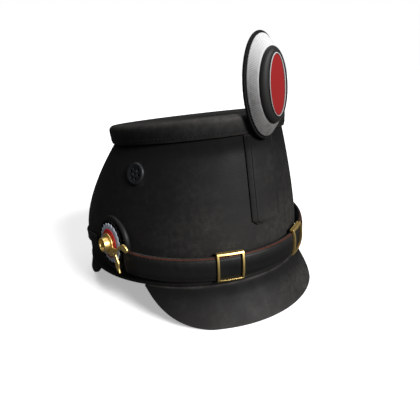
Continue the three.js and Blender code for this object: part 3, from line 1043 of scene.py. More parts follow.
class Wardrobe:
    """Every finish of the hat, made once."""

    def __init__(self) -> None:
        """Makes the materials."""
        effects = Effects()
        deep, painted_lit_colour, rubbed = (0.0026, 0.0025, 0.0025), (0.039, 0.0374, 0.0358), (0.042, 0.039, 0.036)
        # Painted light and shade: the belly is painted lighter, the foot under the strap and the wall under
        # the top darker.
        self.body = Leather(
            "body_leather", deep, (0.027, 0.026, 0.0248), (0.02, 0.019, 0.018), dusty=0.32, specular=0.2,
            levels=((0.0, 0.06), (32.0, 0.12), (52.0, 0.9), (68.0, 0.88), (92.0, 0.54), (110.0, 0.4),
                    (126.0, 0.02), (200.0, 0.0)),
        ).material(effects)
        # Painted light: the flat top is painted lighter than its turned-down side.
        self.top = Leather(
            "top_leather", deep, painted_lit_colour, rubbed, sides=0.6,
            levels=((0.0, 0.3), (134.0, 0.3), (146.0, 0.95), (200.0, 0.95)),
        ).material(effects)
        # Painted light and shade: the peaks are painted lighter towards the lower edge and darker under the
        # strap.
        self.peak = Leather(
            "peak_leather", deep, painted_lit_colour, rubbed, lean=0.0,
            levels=((0.0, 0.7), (8.0, 0.6), (26.0, 0.08), (60.0, 0.08)),
        ).material(effects)
        # Painted shade: the strap's lower half is painted darker than its upper half.
        self.strap = Leather(
            "strap_leather", (0.003, 0.003, 0.003), (0.018, 0.0176, 0.0172), (0.02, 0.016, 0.014),
            levels=((0.0, 0.0), (42.0, 0.0), (49.0, 0.25), (55.0, 0.7), (100.0, 0.7)), lean=-0.04,
            matt=0.52, shine=0.4, grain=1500.0, grain_depth=0.04, waves=0.2, specular=0.26,
        ).material(effects)
        self.pad = Leather(
            "pad_leather", (0.004, 0.004, 0.004), (0.007, 0.0068, 0.0066), (0.022, 0.02, 0.018),
            matt=0.5, shine=0.4, grain=1300.0, grain_depth=0.05,
        ).material(effects)
        self.cut_edge = Fibre("cut_edge", (0.09, 0.028, 0.016), (0.05, 0.016, 0.01)).material(effects)
        self.inside = Suede("inner_leather", (0.085, 0.05, 0.03), (0.045, 0.027, 0.017)).material(effects)
        self.thread = Fibre("waxed_thread", (0.045, 0.041, 0.036), (0.022, 0.02, 0.018)).material(effects)
        self.black_thread = Fibre(
            "black_thread", (0.022, 0.021, 0.02), (0.014, 0.0135, 0.013)).material(effects)
        self.brown_thread = Fibre(
            "brown_thread", (0.03, 0.019, 0.014), (0.014, 0.01, 0.008)).material(effects)
        self.white_cloth = Cloth(
            "white_cloth", (0.66, 0.66, 0.665), (0.125, 0.118, 0.108)).material(effects)
        self.red_cloth = Cloth(
            "red_cloth", (0.27, 0.011, 0.011), (0.22, 0.008, 0.009), threads=1700.0, sheen=0.03,
        ).material(effects)
        self.black_cloth = Cloth(
            "black_cloth", (0.011, 0.011, 0.011), (0.016, 0.015, 0.014), rough=0.5, depth=0.03,
        ).material(effects)
        self.base_cloth = Cloth(
            "base_cloth", (0.0045, 0.0045, 0.0045), (0.008, 0.0078, 0.0076), rough=0.7, depth=0.03,
            specular=0.1,
        ).material(effects)
        self.brass = Brass("brass", (0.96, 0.7, 0.26), (0.6, 0.42, 0.15)).material(effects)
        self.white_paint = Paint("white_paint", (0.46, 0.51, 0.6), (0.4, 0.42, 0.46)).material(effects)
        self.red_paint = Paint(
            "red_paint", (0.5, 0.008, 0.012), (0.34, 0.03, 0.03), rough=0.34).material(effects)
        self.black_paint = Paint(
            "black_paint", (0.002, 0.002, 0.002), (0.006, 0.006, 0.006), rough=0.7, specular=0.1,
        ).material(effects)
        self.dark_metal = Paint(
            "dark_metal", (0.015, 0.0168, 0.019), (0.07, 0.074, 0.08), metal=0.4).material(effects)


# Leather work

@dataclass
class Crown:
    """The body: one leather wall, open below, with a rolled rim and a vent hole on each side."""

    finishes: Wardrobe
    wall: float = 2.5
    stub: float = 10.0
    around: int = 160
    bead: tuple[Point, ...] = (
        (0.0, 0.1), (0.2, 0.65), (0.7, 0.95), (1.5, 1.05), (2.3, 0.95), (2.9, 0.6), (3.3, 0.2), (3.8, 0.0),
        (4.6, 0.0),
    )
    wall_foot: float = 7.0
    wall_steps: int = 34
    inner_foot: float = 1.0
    inner_steps: int = 14
    lip: Point = (0.1, 0.4)

    def build(self) -> None:
        """Models the body and dresses it."""
        neck, top = BODY.neck.z, BODY.neck.z + self.stub
        rings = [BODY.ring(z, out) for z, out in self.bead]
        rings += [BODY.ring(lerp(self.wall_foot, neck, share)) for share in shares(self.wall_steps)]
        rings.append(BODY.ring(top))
        inner = [lerp(top, self.inner_foot, share) for share in shares(self.inner_steps)]
        rings += [BODY.ring(z, -self.wall) for z in inner]
        rings.append(BODY.ring(self.lip[0], self.lip[1] - self.wall))
        piece = ring_stack(rings, self.around, Ends.JOINED)
        cut_with(piece, [Vent.drill(side) for side in Side])
        self._line(piece)
        dress(piece, "crown_leather", [self.finishes.body, self.finishes.inside], ["crown"])

    def _line(self, piece: bpy.types.Object) -> None:
        """Gives the inner side of the wall its own finish.

        Args:
            piece: The body, in the hat's frame.
        """
        for face in piece.data.polygons:
            middle = face.center
            level = BODY.level(middle.z)
            outward = Vector((middle.x, middle.y - level.centre, 0)).dot(face.normal) > 0
            face.material_index = 0 if outward or middle.z < self.inner_foot else 1


@dataclass
class CrownTop:
    """The top: a flat leather disc whose rounded edge is turned down over the body and sewn."""

    finishes: Wardrobe
    proud: float = 2.0
    flare: float = 1.0
    straight: float = 10.3
    shoulder: float = 4.0
    shoulder_steps: int = 8
    wall: float = 1.7
    around: int = 160
    inner_disc: Point = (-58.0, -30.0)
    inner_foot: Point = (0.4, 0.1)
    lip: tuple[Point, ...] = ((0.0, -0.9), (0.0, -0.45), (0.3, -0.05))
    side_heights: tuple[float, ...] = (1.0, 2.2, 2.9, 3.6, 5.0, 6.5, 8.0, 9.3)
    seam: float = 3.4
    seam_rows: tuple[Point, ...] = ((0.05, 1.8), (0.02, 0.7), (-0.35, 0.0), (-0.1, -0.8), (-0.05, -2.5))
    disc: Point = (-5.0, -60.0)
    sag: Point = (0.1, 0.5)
    disc_steps: int = 9
    stitch_height: float = 2.9
    stitches: int = 148

    def side_out(self, up: float) -> float:
        """How far the turned-down side stands off the body at a height above its lower edge."""
        return self.proud + self.flare * math.sin(min(up / self.straight, 1.0) * HALF_TURN / 2)

    def inner_rows(self) -> list[Point]:
        """The inner side, from the middle down to the lower edge.

        Returns:
            Rows of height over the lower edge and distance off the body.
        """
        full = self.proud + self.flare
        ceiling = self.straight + self.shoulder - self.wall
        rows = [(ceiling, out) for out in (*self.inner_disc, full - self.shoulder)]
        up, in_by = self.inner_foot
        return rows + [(self.straight, full - self.wall), (up, self.proud - self.wall + in_by)]

    def outer_rows(self) -> list[Point]:
        """The outer side, from the lower edge over the shoulder to the middle.

        Returns:
            Rows of height over the lower edge and distance off the body.
        """
        rows = [(up, self.proud + out) for up, out in self.lip]
        rows += [(up, self.side_out(up)) for up in self.side_heights]
        edge = self.proud + self.flare - self.shoulder
        for share in shares(self.shoulder_steps):
            angle = share * HALF_TURN / 2
            up = self.straight + self.shoulder * math.sin(angle)
            rows.append((up, edge + self.shoulder * math.cos(angle)))
        ceiling, groove = self.straight + self.shoulder, edge - self.seam
        rows += [(ceiling + up, groove + out) for up, out in self.seam_rows]
        near, far = self.sag
        for share in shares(self.disc_steps):
            rows.append((ceiling - near - far * share, lerp(groove + self.disc[0], self.disc[1], share)))
        return rows

    def build(self) -> None:
        """Models the top and its stitches and dresses them."""
        foot = BODY.neck.z
        rings = [BODY.ring(foot + up, out) for up, out in self.inner_rows() + self.outer_rows()]
        piece = ring_stack(rings, self.around, Ends.CAPPED)
        dress(piece, "top_leather", [self.finishes.top], ["crown_top"])
        turns = [FULL_TURN * step / self.stitches for step in range(self.stitches)]
        height, out = foot + self.stitch_height, self.side_out(self.stitch_height)
        Stitching("top_stitches", length=2.2, width=0.6).sew(
            [Seat.on_body(turn, height, out) for turn in turns], self.finishes.black_thread)


@dataclass(frozen=True)
class Seat:
    """Where one stitch lies: its middle, the way it runs and the way out of the leather."""

    middle: Vector
    along: Vector
    out: Vector

    @staticmethod
    def on_body(turn: float, z: float, out: float) -> "Seat":
        """A seat off the body, running round it."""
        across, _, away = BODY.axes(turn, z)
        return Seat(BODY.point(turn, z, out), across, away)


@dataclass
class Stitching:
    """A row of stitches, modelled once and laid along a seam as one mesh."""

    name: str
    length: float = 2.2
    width: float = 0.5
    loose: float = 0.06
    seed: int = 7

    def sew(self, seats: Sequence[Seat], finish: bpy.types.Material) -> None:
        """Lays a stitch on each seat.

        Args:
            seats: The stitches' places in the hat's frame.
            finish: The thread's material.
        """
        chance = random.Random(self.seed)
        pattern = primitive("uv_sphere", segments=8, ring_count=6, radius=0.5)
        size = Vector((self.length, self.width, self.width))
        points = [vertex.co.zyx * size for vertex in pattern.data.vertices]
        faces = [tuple(face.vertices) for face in pattern.data.polygons]
        bpy.data.objects.remove(pattern)
        all_points, all_faces = [], []
        for seat in seats:
            skew = chance.uniform(-self.loose, self.loose)
            along = (seat.along + seat.along.cross(seat.out) * skew).normalized()
            turn = Matrix((along, seat.out.cross(along), seat.out)).transposed()
            start = len(all_points)
            all_points += [seat.middle + turn @ point for point in points]
            all_faces += [tuple(start + index for index in face) for face in faces]
        mesh = bpy.data.meshes.new(self.name)
        mesh.from_pydata(all_points, [], all_faces)
        piece = bpy.data.objects.new(self.name, mesh)
        bpy.context.scene.collection.objects.link(piece)
        edit(piece)
        close_edit()
        dress(piece, self.name, [finish], sharp=80.0)


@dataclass
class Peak:
    """A stiff leather peak below the rim, standing on its lower edge."""

    finishes: Wardrobe
    node: str
    middle: float
    end: float
    drop: float
    reach: float
    flare: float
    fade: float
    wall: float = 2.5
    root: float = 0.6
    edge_round: float = 0.8
    edge_share: float = 0.2
    corner: Point = (0.3, 0.25)
    stations: int = 121
    rows: int = 18
    tip: float = 0.992

    def free_depth(self, share: float) -> float:
        """The depth of the edge where it hangs free, before it fades out at the ends."""
        raise NotImplementedError

    def turn(self, share: float) -> float:
        """The angle from the hat's front at a share of the end angle."""
        return self.middle + math.radians(self.end * share)

    def depth(self, share: float) -> float:
        """The depth of the edge, which never passes what the hat stands on.

        Args:
            share: The share of the end angle, from -1 to 1.

        Returns:
            The depth below the rim.
        """
        edge_y = -(BODY.rim.half_length + self.root + self.reach) * math.cos(self.turn(share))
        return min(STAND.depth(edge_y), self.free_depth(share) * (1 - abs(share) ** self.fade))

    def section(self, share: float) -> list[Vector]:
        """The closed section: down the outside, round the edge and up the inside.

        Args:
            share: The share of the end angle, from -1 to 1.

        Returns:
            The points of the section.
        """
        turn, depth = self.turn(share), self.depth(share)
        rounded = min(self.edge_round, depth * self.edge_share)
        outer = [lerp(GAP, depth - rounded, row) for row in shares(self.rows)]
        up, in_by = (part * rounded for part in self.corner)
        rows = [(down, 0.0) for down in outer]
        rows += [(depth - up, in_by), (depth, rounded)]
        rows += [(depth, self.wall - rounded), (depth - up, self.wall - in_by)]
        rows += [(down, self.wall) for down in reversed(outer)]
        return [self._point(turn, down, inset) for down, inset in rows]

    def _point(self, turn: float, down: float, inset: float) -> Vector:
        """A point of the peak.

        Args:
            turn: The angle from the hat's front.
            down: The depth below the rim.
            inset: The distance behind the outside.

        Returns:
            The point in the hat's frame.
        """
        share = down / self.drop
        out = self.root + self.reach * ((1 - self.flare) * share + self.flare * share * share) - inset
        y = -(BODY.rim.half_length + out) * math.cos(turn)
        return Vector(((BODY.rim.half_width + out) * math.sin(turn), y, -min(down, STAND.depth(y))))

    def build(self) -> None:
        """Models the peak and dresses it."""
        places = [self.tip * math.sin(lerp(-1, 1, share) * HALF_TURN / 2) for share in shares(self.stations)]
        inner = range(self.rows + 4, 2 * self.rows + 3)
        piece = loft([self.section(place) for place in places], inner)
        finishes = [self.finishes.peak, self.finishes.inside]
        dress(piece, f"{self.node}_leather", finishes, [self.node])


@dataclass
class FrontPeak(Peak):
    """The deep peak over the brow."""

    node: str = "front_peak"
    middle: float = 0.0
    end: float = 61.1
    drop: float = 31.0
    reach: float = 13.5
    flare: float = 0.24
    fade: float = 4.5
    spare: float = 1.03

    def free_depth(self, share: float) -> float:
        """A little more than the drop, so that the edge lies flat on what it stands on."""
        return self.drop * self.spare


@dataclass
class RearPeak(Peak):
    """The short neck peak."""

    node: str = "rear_peak"
    middle: float = HALF_TURN
    end: float = 85.5
    drop: float = 20.0
    reach: float = 5.0
    flare: float = 0.1
    fade: float = 22.0
    end_depth: float = 11.0
    swell: float = 13.0

    def free_depth(self, share: float) -> float:
        """Deepest in the middle."""
        return self.end_depth + self.swell * math.cos(share * HALF_TURN / 2) ** 2


@dataclass
class ChinStrap:
    """The leather strap across the front, from post to post, with sewn edges and a brown cut edge."""

    finishes: Wardrobe
    end: float = 67.5
    height: float = 14.0
    rise: float = 6.4
    rise_curve: float = 2.83
    half: float = 9.5
    stations: int = 181
    lift: Point = (2.5, 5.0)
    lift_span: Point = (20.0, 64.0)
    taper: float = 0.47
    taper_span: Point = (60.0, 67.0)
    side: float = 2.15
    bulge: float = 1.45
    bulge_curve: float = 2.6
    crease: Point = (0.22, 0.6)
    cut: float = 1.25
    lower_lip: float = 0.4
    face_rows: int = 31
    upper_edge: tuple[Point, ...] = ((-0.5625, 1.75), (0.0, 1.2), (0.0, 0.45), (-0.35, 0.05))
    lower_edge: tuple[Point, ...] = ((0.35, 0.05), (0.0, 0.45), (0.0, 1.5))
    under_inset: float = 3.0
    under_rows: int = 5
    stitch_up: float = 7.4
    stitch_span: Point = (30.0, 60.0)
    stitches: int = 18

    def middle_height(self, degrees: float) -> float:
        """The height of the strap's middle line at an angle from the front."""
        return self.height + self.rise * abs(degrees / self.end) ** self.rise_curve

    def under(self, degrees: float) -> float:
        """How far the strap stands off the body."""
        return lerp(*self.lift, smooth_share(abs(degrees), *self.lift_span))

    def body(self, degrees: float) -> float:
        """The share of the strap's full thickness."""
        return lerp(1.0, self.taper, smooth_share(abs(degrees), *self.taper_span))

    def face_out(self, up: float) -> float:
        """The rounded face over the underside, with a crease along each seam.

        Args:
            up: The height over the strap's middle line.

        Returns:
            The thickness there.
        """
        bulge = self.side + self.bulge * (1 - abs(up / self.half) ** self.bulge_curve)
        deep, wide = self.crease
        return bulge - deep * math.exp(-((abs(up) - self.stitch_up) / wide) ** 2)

    def section(self, degrees: float) -> list[Vector]:
        """The closed section: up the face, over the cut edge and down the underside.

        Args:
            degrees: The angle from the front.

        Returns:
            The points of the section.
        """
        half, under_half = self.half, self.half - self.under_inset
        face = [lerp(self.lower_lip - half, half - self.cut, share) for share in shares(self.face_rows)]
        rows = [(up, self.face_out(up)) for up in face]
        rows += [(half + up, out) for up, out in self.upper_edge]
        rows += [(lerp(under_half, -under_half, share), 0.0) for share in shares(self.under_rows)]
        rows += [(up - half, out) for up, out in self.lower_edge]
        height, under, body = self.middle_height(degrees), self.under(degrees), self.body(degrees)
        return [BODY.point(math.radians(degrees), height + up, under + out * body) for up, out in rows]

    def build(self) -> None:
        """Models the strap and its stitches and dresses them."""
        places = [lerp(-self.end, self.end, share) for share in shares(self.stations)]
        cut_row = self.face_rows - 1
        piece = loft([self.section(place) for place in places], [cut_row])
        finishes = [self.finishes.strap, self.finishes.cut_edge]
        dress(piece, "chin_strap_leather", finishes, ["chin_strap"])
        self._sew("strap_upper_stitches", self.stitch_up, self.finishes.thread)
        self._sew("strap_lower_stitches", -self.stitch_up, self.finishes.brown_thread)

    def _sew(self, name: str, up: float, thread: bpy.types.Material) -> None:
        """Sews one edge between the slides and the claws.

        Args:
            name: The piece's name.
            up: The seam's height over the strap's middle line.
            thread: The thread's material.
        """
        seats = []
        for side in Side:
            for share in shares(self.stitches):
                degrees = side.value * lerp(*self.stitch_span, share)
                out = self.under(degrees) + self.face_out(up) * self.body(degrees)
                seats.append(Seat.on_body(math.radians(degrees), self.middle_height(degrees) + up, out))
        Stitching(name, length=1.8).sew(seats, thread)


@dataclass
class RearBand:
    """The sewn leather band round the back, from cockade to cockade."""

    finishes: Wardrobe
    start: float = 90.5
    height: float = 26.6
    half: float = 4.6
    under: float = 0.45
    thick: float = 1.25
    edge_rows: tuple[Point, ...] = ((0.0, 0.3), (0.0, 0.75), (0.3, 1.15))
    face_inset: float = 0.8
    face_rows: int = 9
    under_inset: float = 0.4
    fall: float = 7.5
    fall_span: float = 38.0
    stations: int = 161
    stitch_inset: float = 1.3
    stitch_start: float = 2.0
    stitches: int = 66

    def middle_height(self, degrees: float) -> float:
        """The height of the band's middle line, which falls towards the back."""
        from_end = min(degrees, 360 - degrees) - self.start
        return self.height - self.fall * smooth_share(from_end, 0.0, self.fall_span)

    def section(self, degrees: float) -> list[Vector]:
        """The closed section: up the face and down the underside.

        Args:
            degrees: The angle from the front.

        Returns:
            The points of the section.
        """
        face, flat = self.half - self.face_inset, self.half - self.under_inset
        rows = [(inset - self.half, up) for inset, up in self.edge_rows]
        rows += [(lerp(-face, face, share), self.thick) for share in shares(self.face_rows)]
        rows += [(self.half - inset, up) for inset, up in reversed(self.edge_rows)]
        rows += [(flat, 0.0), (-flat, 0.0)]
        turn, height = math.radians(degrees), self.middle_height(degrees)
        return [BODY.point(turn, height + up, self.under + out) for up, out in rows]

    def angles(self, inset: float, count: int) -> list[float]:
        """Angles from one end of the band to the other, held a little inside its ends."""
        start = self.start + inset
        return [lerp(start, 360 - start, share) for share in shares(count)]

    def build(self) -> None:
        """Models the band and its stitches and dresses them."""
        piece = loft([self.section(degrees) for degrees in self.angles(0.0, self.stations)])
        dress(piece, "rear_band_leather", [self.finishes.body], ["rear_band"])
        seats = []
        for edge in (-1, 1):
            up = edge * (self.half - self.stitch_inset)
            for degrees in self.angles(self.stitch_start, self.stitches):
                height = self.middle_height(degrees) + up
                seats.append(Seat.on_body(math.radians(degrees), height, self.under + self.thick))
        Stitching("band_stitches", length=2.4).sew(seats, self.finishes.thread)


@dataclass
class FrontTab:
    """The leather pocket strip on the front, which takes the badge's prong."""

    finishes: Wardrobe
    bottom: float = 40.6
    top: float = 103.2
    half: float = 14.2
    narrowing: float = 0.4
    narrow_from: float = 60.0
    foot_half: float = 10.4
    foot_rise: float = 3.0
    foot_lead: float = 0.5
    foot_face: float = 0.3
    foot_steps: int = 6
    crease: float = 3.4
    crease_depth: float = 0.4
    crease_width: float = 0.35
    worn_depth: float = 0.15
    worn_width: float = 0.3
    face: float = 2.7
    edge: float = 1.3
    thick: float = 1.2
    stations: int = 49
    first_step: float = 1.0
    border: tuple[float, ...] = (0.0, 0.15, 0.6, 1.3, 2.1, 2.7, 3.0, 3.2, 3.4, 3.6, 3.8, 4.2, 5.0)
    middle_gap: float = 1.0
    middle_columns: int = 9
    slot: Size = (9.0, 30.0, 30.0)
    slot_height: float = 117.9

    def half_at(self, z: float) -> float:
        """The strip's half width, with its cut-off lower corners.

        Args:
            z: The height.

        Returns:
            The half width there.
        """
        corner = min((z - self.bottom) / self.foot_rise, 1.0)
        narrower = self.narrowing * smooth_share(z, self.narrow_from, self.top)
        return lerp(self.foot_half, self.half, corner) - narrower

    def face_out(self, x: float, z: float) -> float:
        """How far the strip's face stands off the body.

        Args:
            x: The distance from the middle.
            z: The height.

        Returns:
            The distance off the body.
        """
        inset = self.half_at(z) - abs(x)
        border = min(inset / self.crease, 1.0)
        foot = smooth_share(z, self.bottom - self.foot_lead, self.bottom + self.foot_rise)
        groove = self.crease_depth * math.exp(-((inset - self.crease) / self.crease_width) ** 2)
        worn_edge = self.worn_depth * (1 - min(inset / self.worn_width, 1.0))
        return lerp(self.edge, self.face, border * lerp(self.foot_face, 1.0, foot)) - groove - worn_edge

    def section(self, z: float) -> list[Vector]:
        """The closed section: the face from side to side, then the underside back.

        Args:
            z: The height.

        Returns:
            The points of the section.
        """
        half = self.half_at(z)
        field = half - self.border[-1] - self.middle_gap
        places = [inset - half for inset in self.border]
        places += [lerp(-field, field, share) for share in shares(self.middle_columns)]
        places += [half - inset for inset in reversed(self.border)]
        outs = [self.face_out(x, z) for x in places]
        outer = [BODY.front_point(x, z, out) for x, out in zip(places, outs)]
        inner = [BODY.front_point(x, z, max(GAP, out - self.thick)) for x, out in zip(places, outs)]
        return outer + inner[::-1]

    def build(self) -> None:
        """Models the strip with its creases and its notch and dresses it."""
        foot = [self.bottom + self.foot_rise * share for share in shares(self.foot_steps)]
        rise_from = self.bottom + self.foot_rise + self.first_step
        rise = [lerp(rise_from, self.top, share) for share in shares(self.stations)]
        columns = 2 * len(self.border) + self.middle_columns
        first = self.border.index(self.crease) - 1
        last = columns - 2 - first
        # Painted shade: the two creases and both side walls take the darker pad leather.
        shaded_rows = [first, first + 1, *range(last - 2, last + 2), columns - 1, 2 * columns - 1]
        piece = loft([self.section(z) for z in foot + rise], shaded_rows)
        cut_with(piece, [block(self.slot, (0, -BODY.rim.half_length, self.slot_height))])
        finishes = [self.finishes.body, self.finishes.pad]
        dress(piece, "front_tab_leather", finishes, ["front_tab"], sharp=30.0)


# Badge, vents and side fittings

@dataclass
class Badge:
    """The oval field badge: a black base with a prong, a white ring, a black dome and a red face."""

    finishes: Wardrobe
    centre: float = 136.9
    around: int = 128
    back_rows: tuple[Size, ...] = (
        (15.2, 32.6, 105.6), (16.5, 34.0, 105.7), (17.2, 34.7, 106.2), (17.5, 35.0, 107.0),
        (17.45, 34.95, 107.9), (17.1, 34.5, 108.5), (16.2, 33.4, 108.75),
    )
    white_rows: tuple[Size, ...] = (
        (15.3, 32.2, 109.0), (16.0, 32.9, 109.1), (16.3, 33.1, 109.5), (16.2, 32.8, 110.1),
        (15.85, 31.9, 110.9), (15.0, 29.5, 113.1), (13.95, 27.0, 115.3), (12.9, 24.8, 116.9),
        (11.0, 22.8, 116.9),
    )
    black_rows: tuple[Size, ...] = (
        (11.6, 23.4, 117.2), (12.3, 24.1, 117.25), (12.65, 24.4, 117.7), (12.5, 24.2, 118.4),
        (11.9, 23.7, 119.2), (11.0, 23.0, 119.9), (9.8, 22.0, 120.45), (8.6, 20.9, 120.75),
        (7.7, 20.0, 120.8), (5.0, 17.0, 120.8),
    )
    piping_rows: tuple[Size, ...] = (
        (6.8, 19.2, 121.1), (7.4, 19.8, 121.1), (7.5, 19.9, 121.35), (7.35, 19.75, 121.7),
        (7.15, 19.55, 121.78), (6.95, 19.35, 121.7), (6.8, 19.2, 121.4),
    )
    red_rows: tuple[Size, ...] = (
        (6.2, 18.6, 121.1), (6.5, 18.9, 121.2), (6.4, 18.8, 121.4), (5.8, 18.1, 121.55),
        (4.4, 15.5, 121.65), (2.6, 9.3, 121.7), (0.9, 3.1, 121.72),
    )
    sharp: float = 45.0
    prong: Size = (8.0, 0.9, 24.4)
    prong_below: float = 1.1
    neck_rise: float = 2.1
    neck_height: float = 2.4
    neck_bite: float = 0.5

    def place(self) -> Matrix:
        """The badge's own frame: x across, y up and z forward."""
        return Matrix.Translation((0, 0, self.centre)) @ Matrix.Rotation(HALF_TURN / 2, 4, "X")

    def stack(self, rows: Sequence[Size], ends: Ends, steps: int) -> bpy.types.Object:
        """An oval piece from rows of half width, half height and distance forward."""
        line = rows if ends is Ends.JOINED else through(rows, steps)
        return ring_stack([Ring(*row) for row in line], self.around, ends)

    def build(self) -> None:
        """Models the five pieces and dresses them."""
        wear = self.finishes
        self._build_base()
        for name, rows, ends, steps, finish, slot, node in (
            ("white_ring", self.white_rows, Ends.CAPPED, 4, wear.white_cloth, "white_cloth", "white"),
            ("black_ring", self.black_rows, Ends.CAPPED, 4, wear.black_cloth, "black_cloth", "black"),
            ("white_piping", self.piping_rows, Ends.JOINED, 1, wear.white_cloth, "white_cloth", "piping"),
            ("red_face", self.red_rows, Ends.CAPPED, 3, wear.red_cloth, "red_cloth", "red"),
        ):
            piece = self.stack(rows, ends, steps)
            dress(piece, f"badge_{name}", [finish], [f"badge_{node}"], self.place(), self.sharp)

    def _build_base(self) -> None:
        """Models the black base with its prong and dresses it."""
        oval = self.stack(self.back_rows, Ends.CAPPED, 3)
        oval.matrix_world = self.place()
        apply_place(oval)
        base = join([oval, *self._prong()])
        modify(base, "WEIGHTED_NORMAL")
        cloth = self.finishes.base_cloth
        dress(base, "badge_base", [cloth], ["badge_back"], sharp=self.sharp)

    def _prong(self) -> list[bpy.types.Object]:
        """The flat prong in the pocket.

        Returns:
            The prong's blade and its neck to the base, in the hat's frame.
        """
        wide, thin, long = self.prong
        top = BODY.neck.z - self.prong_below
        sections = []
        for z in (top - long, top - long / 2, top):
            outer = [BODY.front_point(x, z, GAP + thin) for x in (-wide / 2, wide / 2)]
            inner = [BODY.front_point(x, z, GAP) for x in (wide / 2, -wide / 2)]
            sections.append(outer + inner)
        blade = loft(sections)
        blade_face = BODY.front_point(0.0, top, GAP).y
        back_face = -self.back_rows[0][2]
        deep = blade_face - back_face + self.neck_bite
        middle = (0, blade_face - deep / 2, top + self.neck_rise)
        return [blade, block((wide, deep, self.neck_height), middle)]


@dataclass
class Vent:
    """A blackened vent with a ring of holes round one in the middle."""

    finishes: Wardrobe
    side: Side
    turn: float = 70.0
    height: float = 83.5
    reach: float = 8.0
    barrel: float = 6.6
    bore_depth: float = 24.0
    bore_around: int = 48
    around: int = 64
    under: tuple[Point, ...] = ((0.8, 0.5), (3.0, 0.5), (5.7, 0.4))
    profile: tuple[Point, ...] = (
        (5.7, -2.4), (6.6, -2.4), (6.6, 0.2), (8.0, 0.3), (8.3, 0.5), (8.3, 0.9), (8.1, 1.5), (7.6, 2.0),
        (7.0, 2.2), (6.4, 2.05), (5.9, 1.75), (5.0, 1.62), (3.0, 1.75), (1.0, 1.8),
    )
    holes: int = 6
    circle: float = 3.9
    hole: float = 1.15
    hole_depth: float = 8.0
    hole_around: int = 24
    hole_round: float = 0.14

    @staticmethod
    def drill(side: Side) -> bpy.types.Object:
        """The tool that makes the vent's hole in the body.

        Args:
            side: The side of the hat.

        Returns:
            The tool in the hat's frame.
        """
        radius = Vent.barrel + GAP
        tool = primitive("cylinder", vertices=Vent.bore_around, radius=radius, depth=Vent.bore_depth)
        tool.matrix_world = BODY.place(side, Vent.turn, Vent.height, Vent.reach)
        apply_place(tool)
        return tool

    def build(self) -> None:
        """Models the vent and dresses it."""
        piece = turned([*self.under, *self.profile], self.around, Ends.CAPPED)
        places = [(0.0, 0.0, 0.0)]
        for step in range(self.holes):
            angle = FULL_TURN * step / self.holes
            places.append((self.circle * math.cos(angle), self.circle * math.sin(angle), 0.0))
        sizes = {"vertices": self.hole_around, "radius": self.hole, "depth": self.hole_depth}
        cut_with(piece, [primitive("cylinder", location=middle, **sizes) for middle in places])
        round_edges(piece, self.hole_round, segments=2, degrees=50.0)
        node = f"vent_{self.side.word}"
        place = BODY.place(self.side, self.turn, self.height, self.reach)
        dress(piece, f"{node}_metal", [self.finishes.dark_metal], [node], place, sharp=35.0)


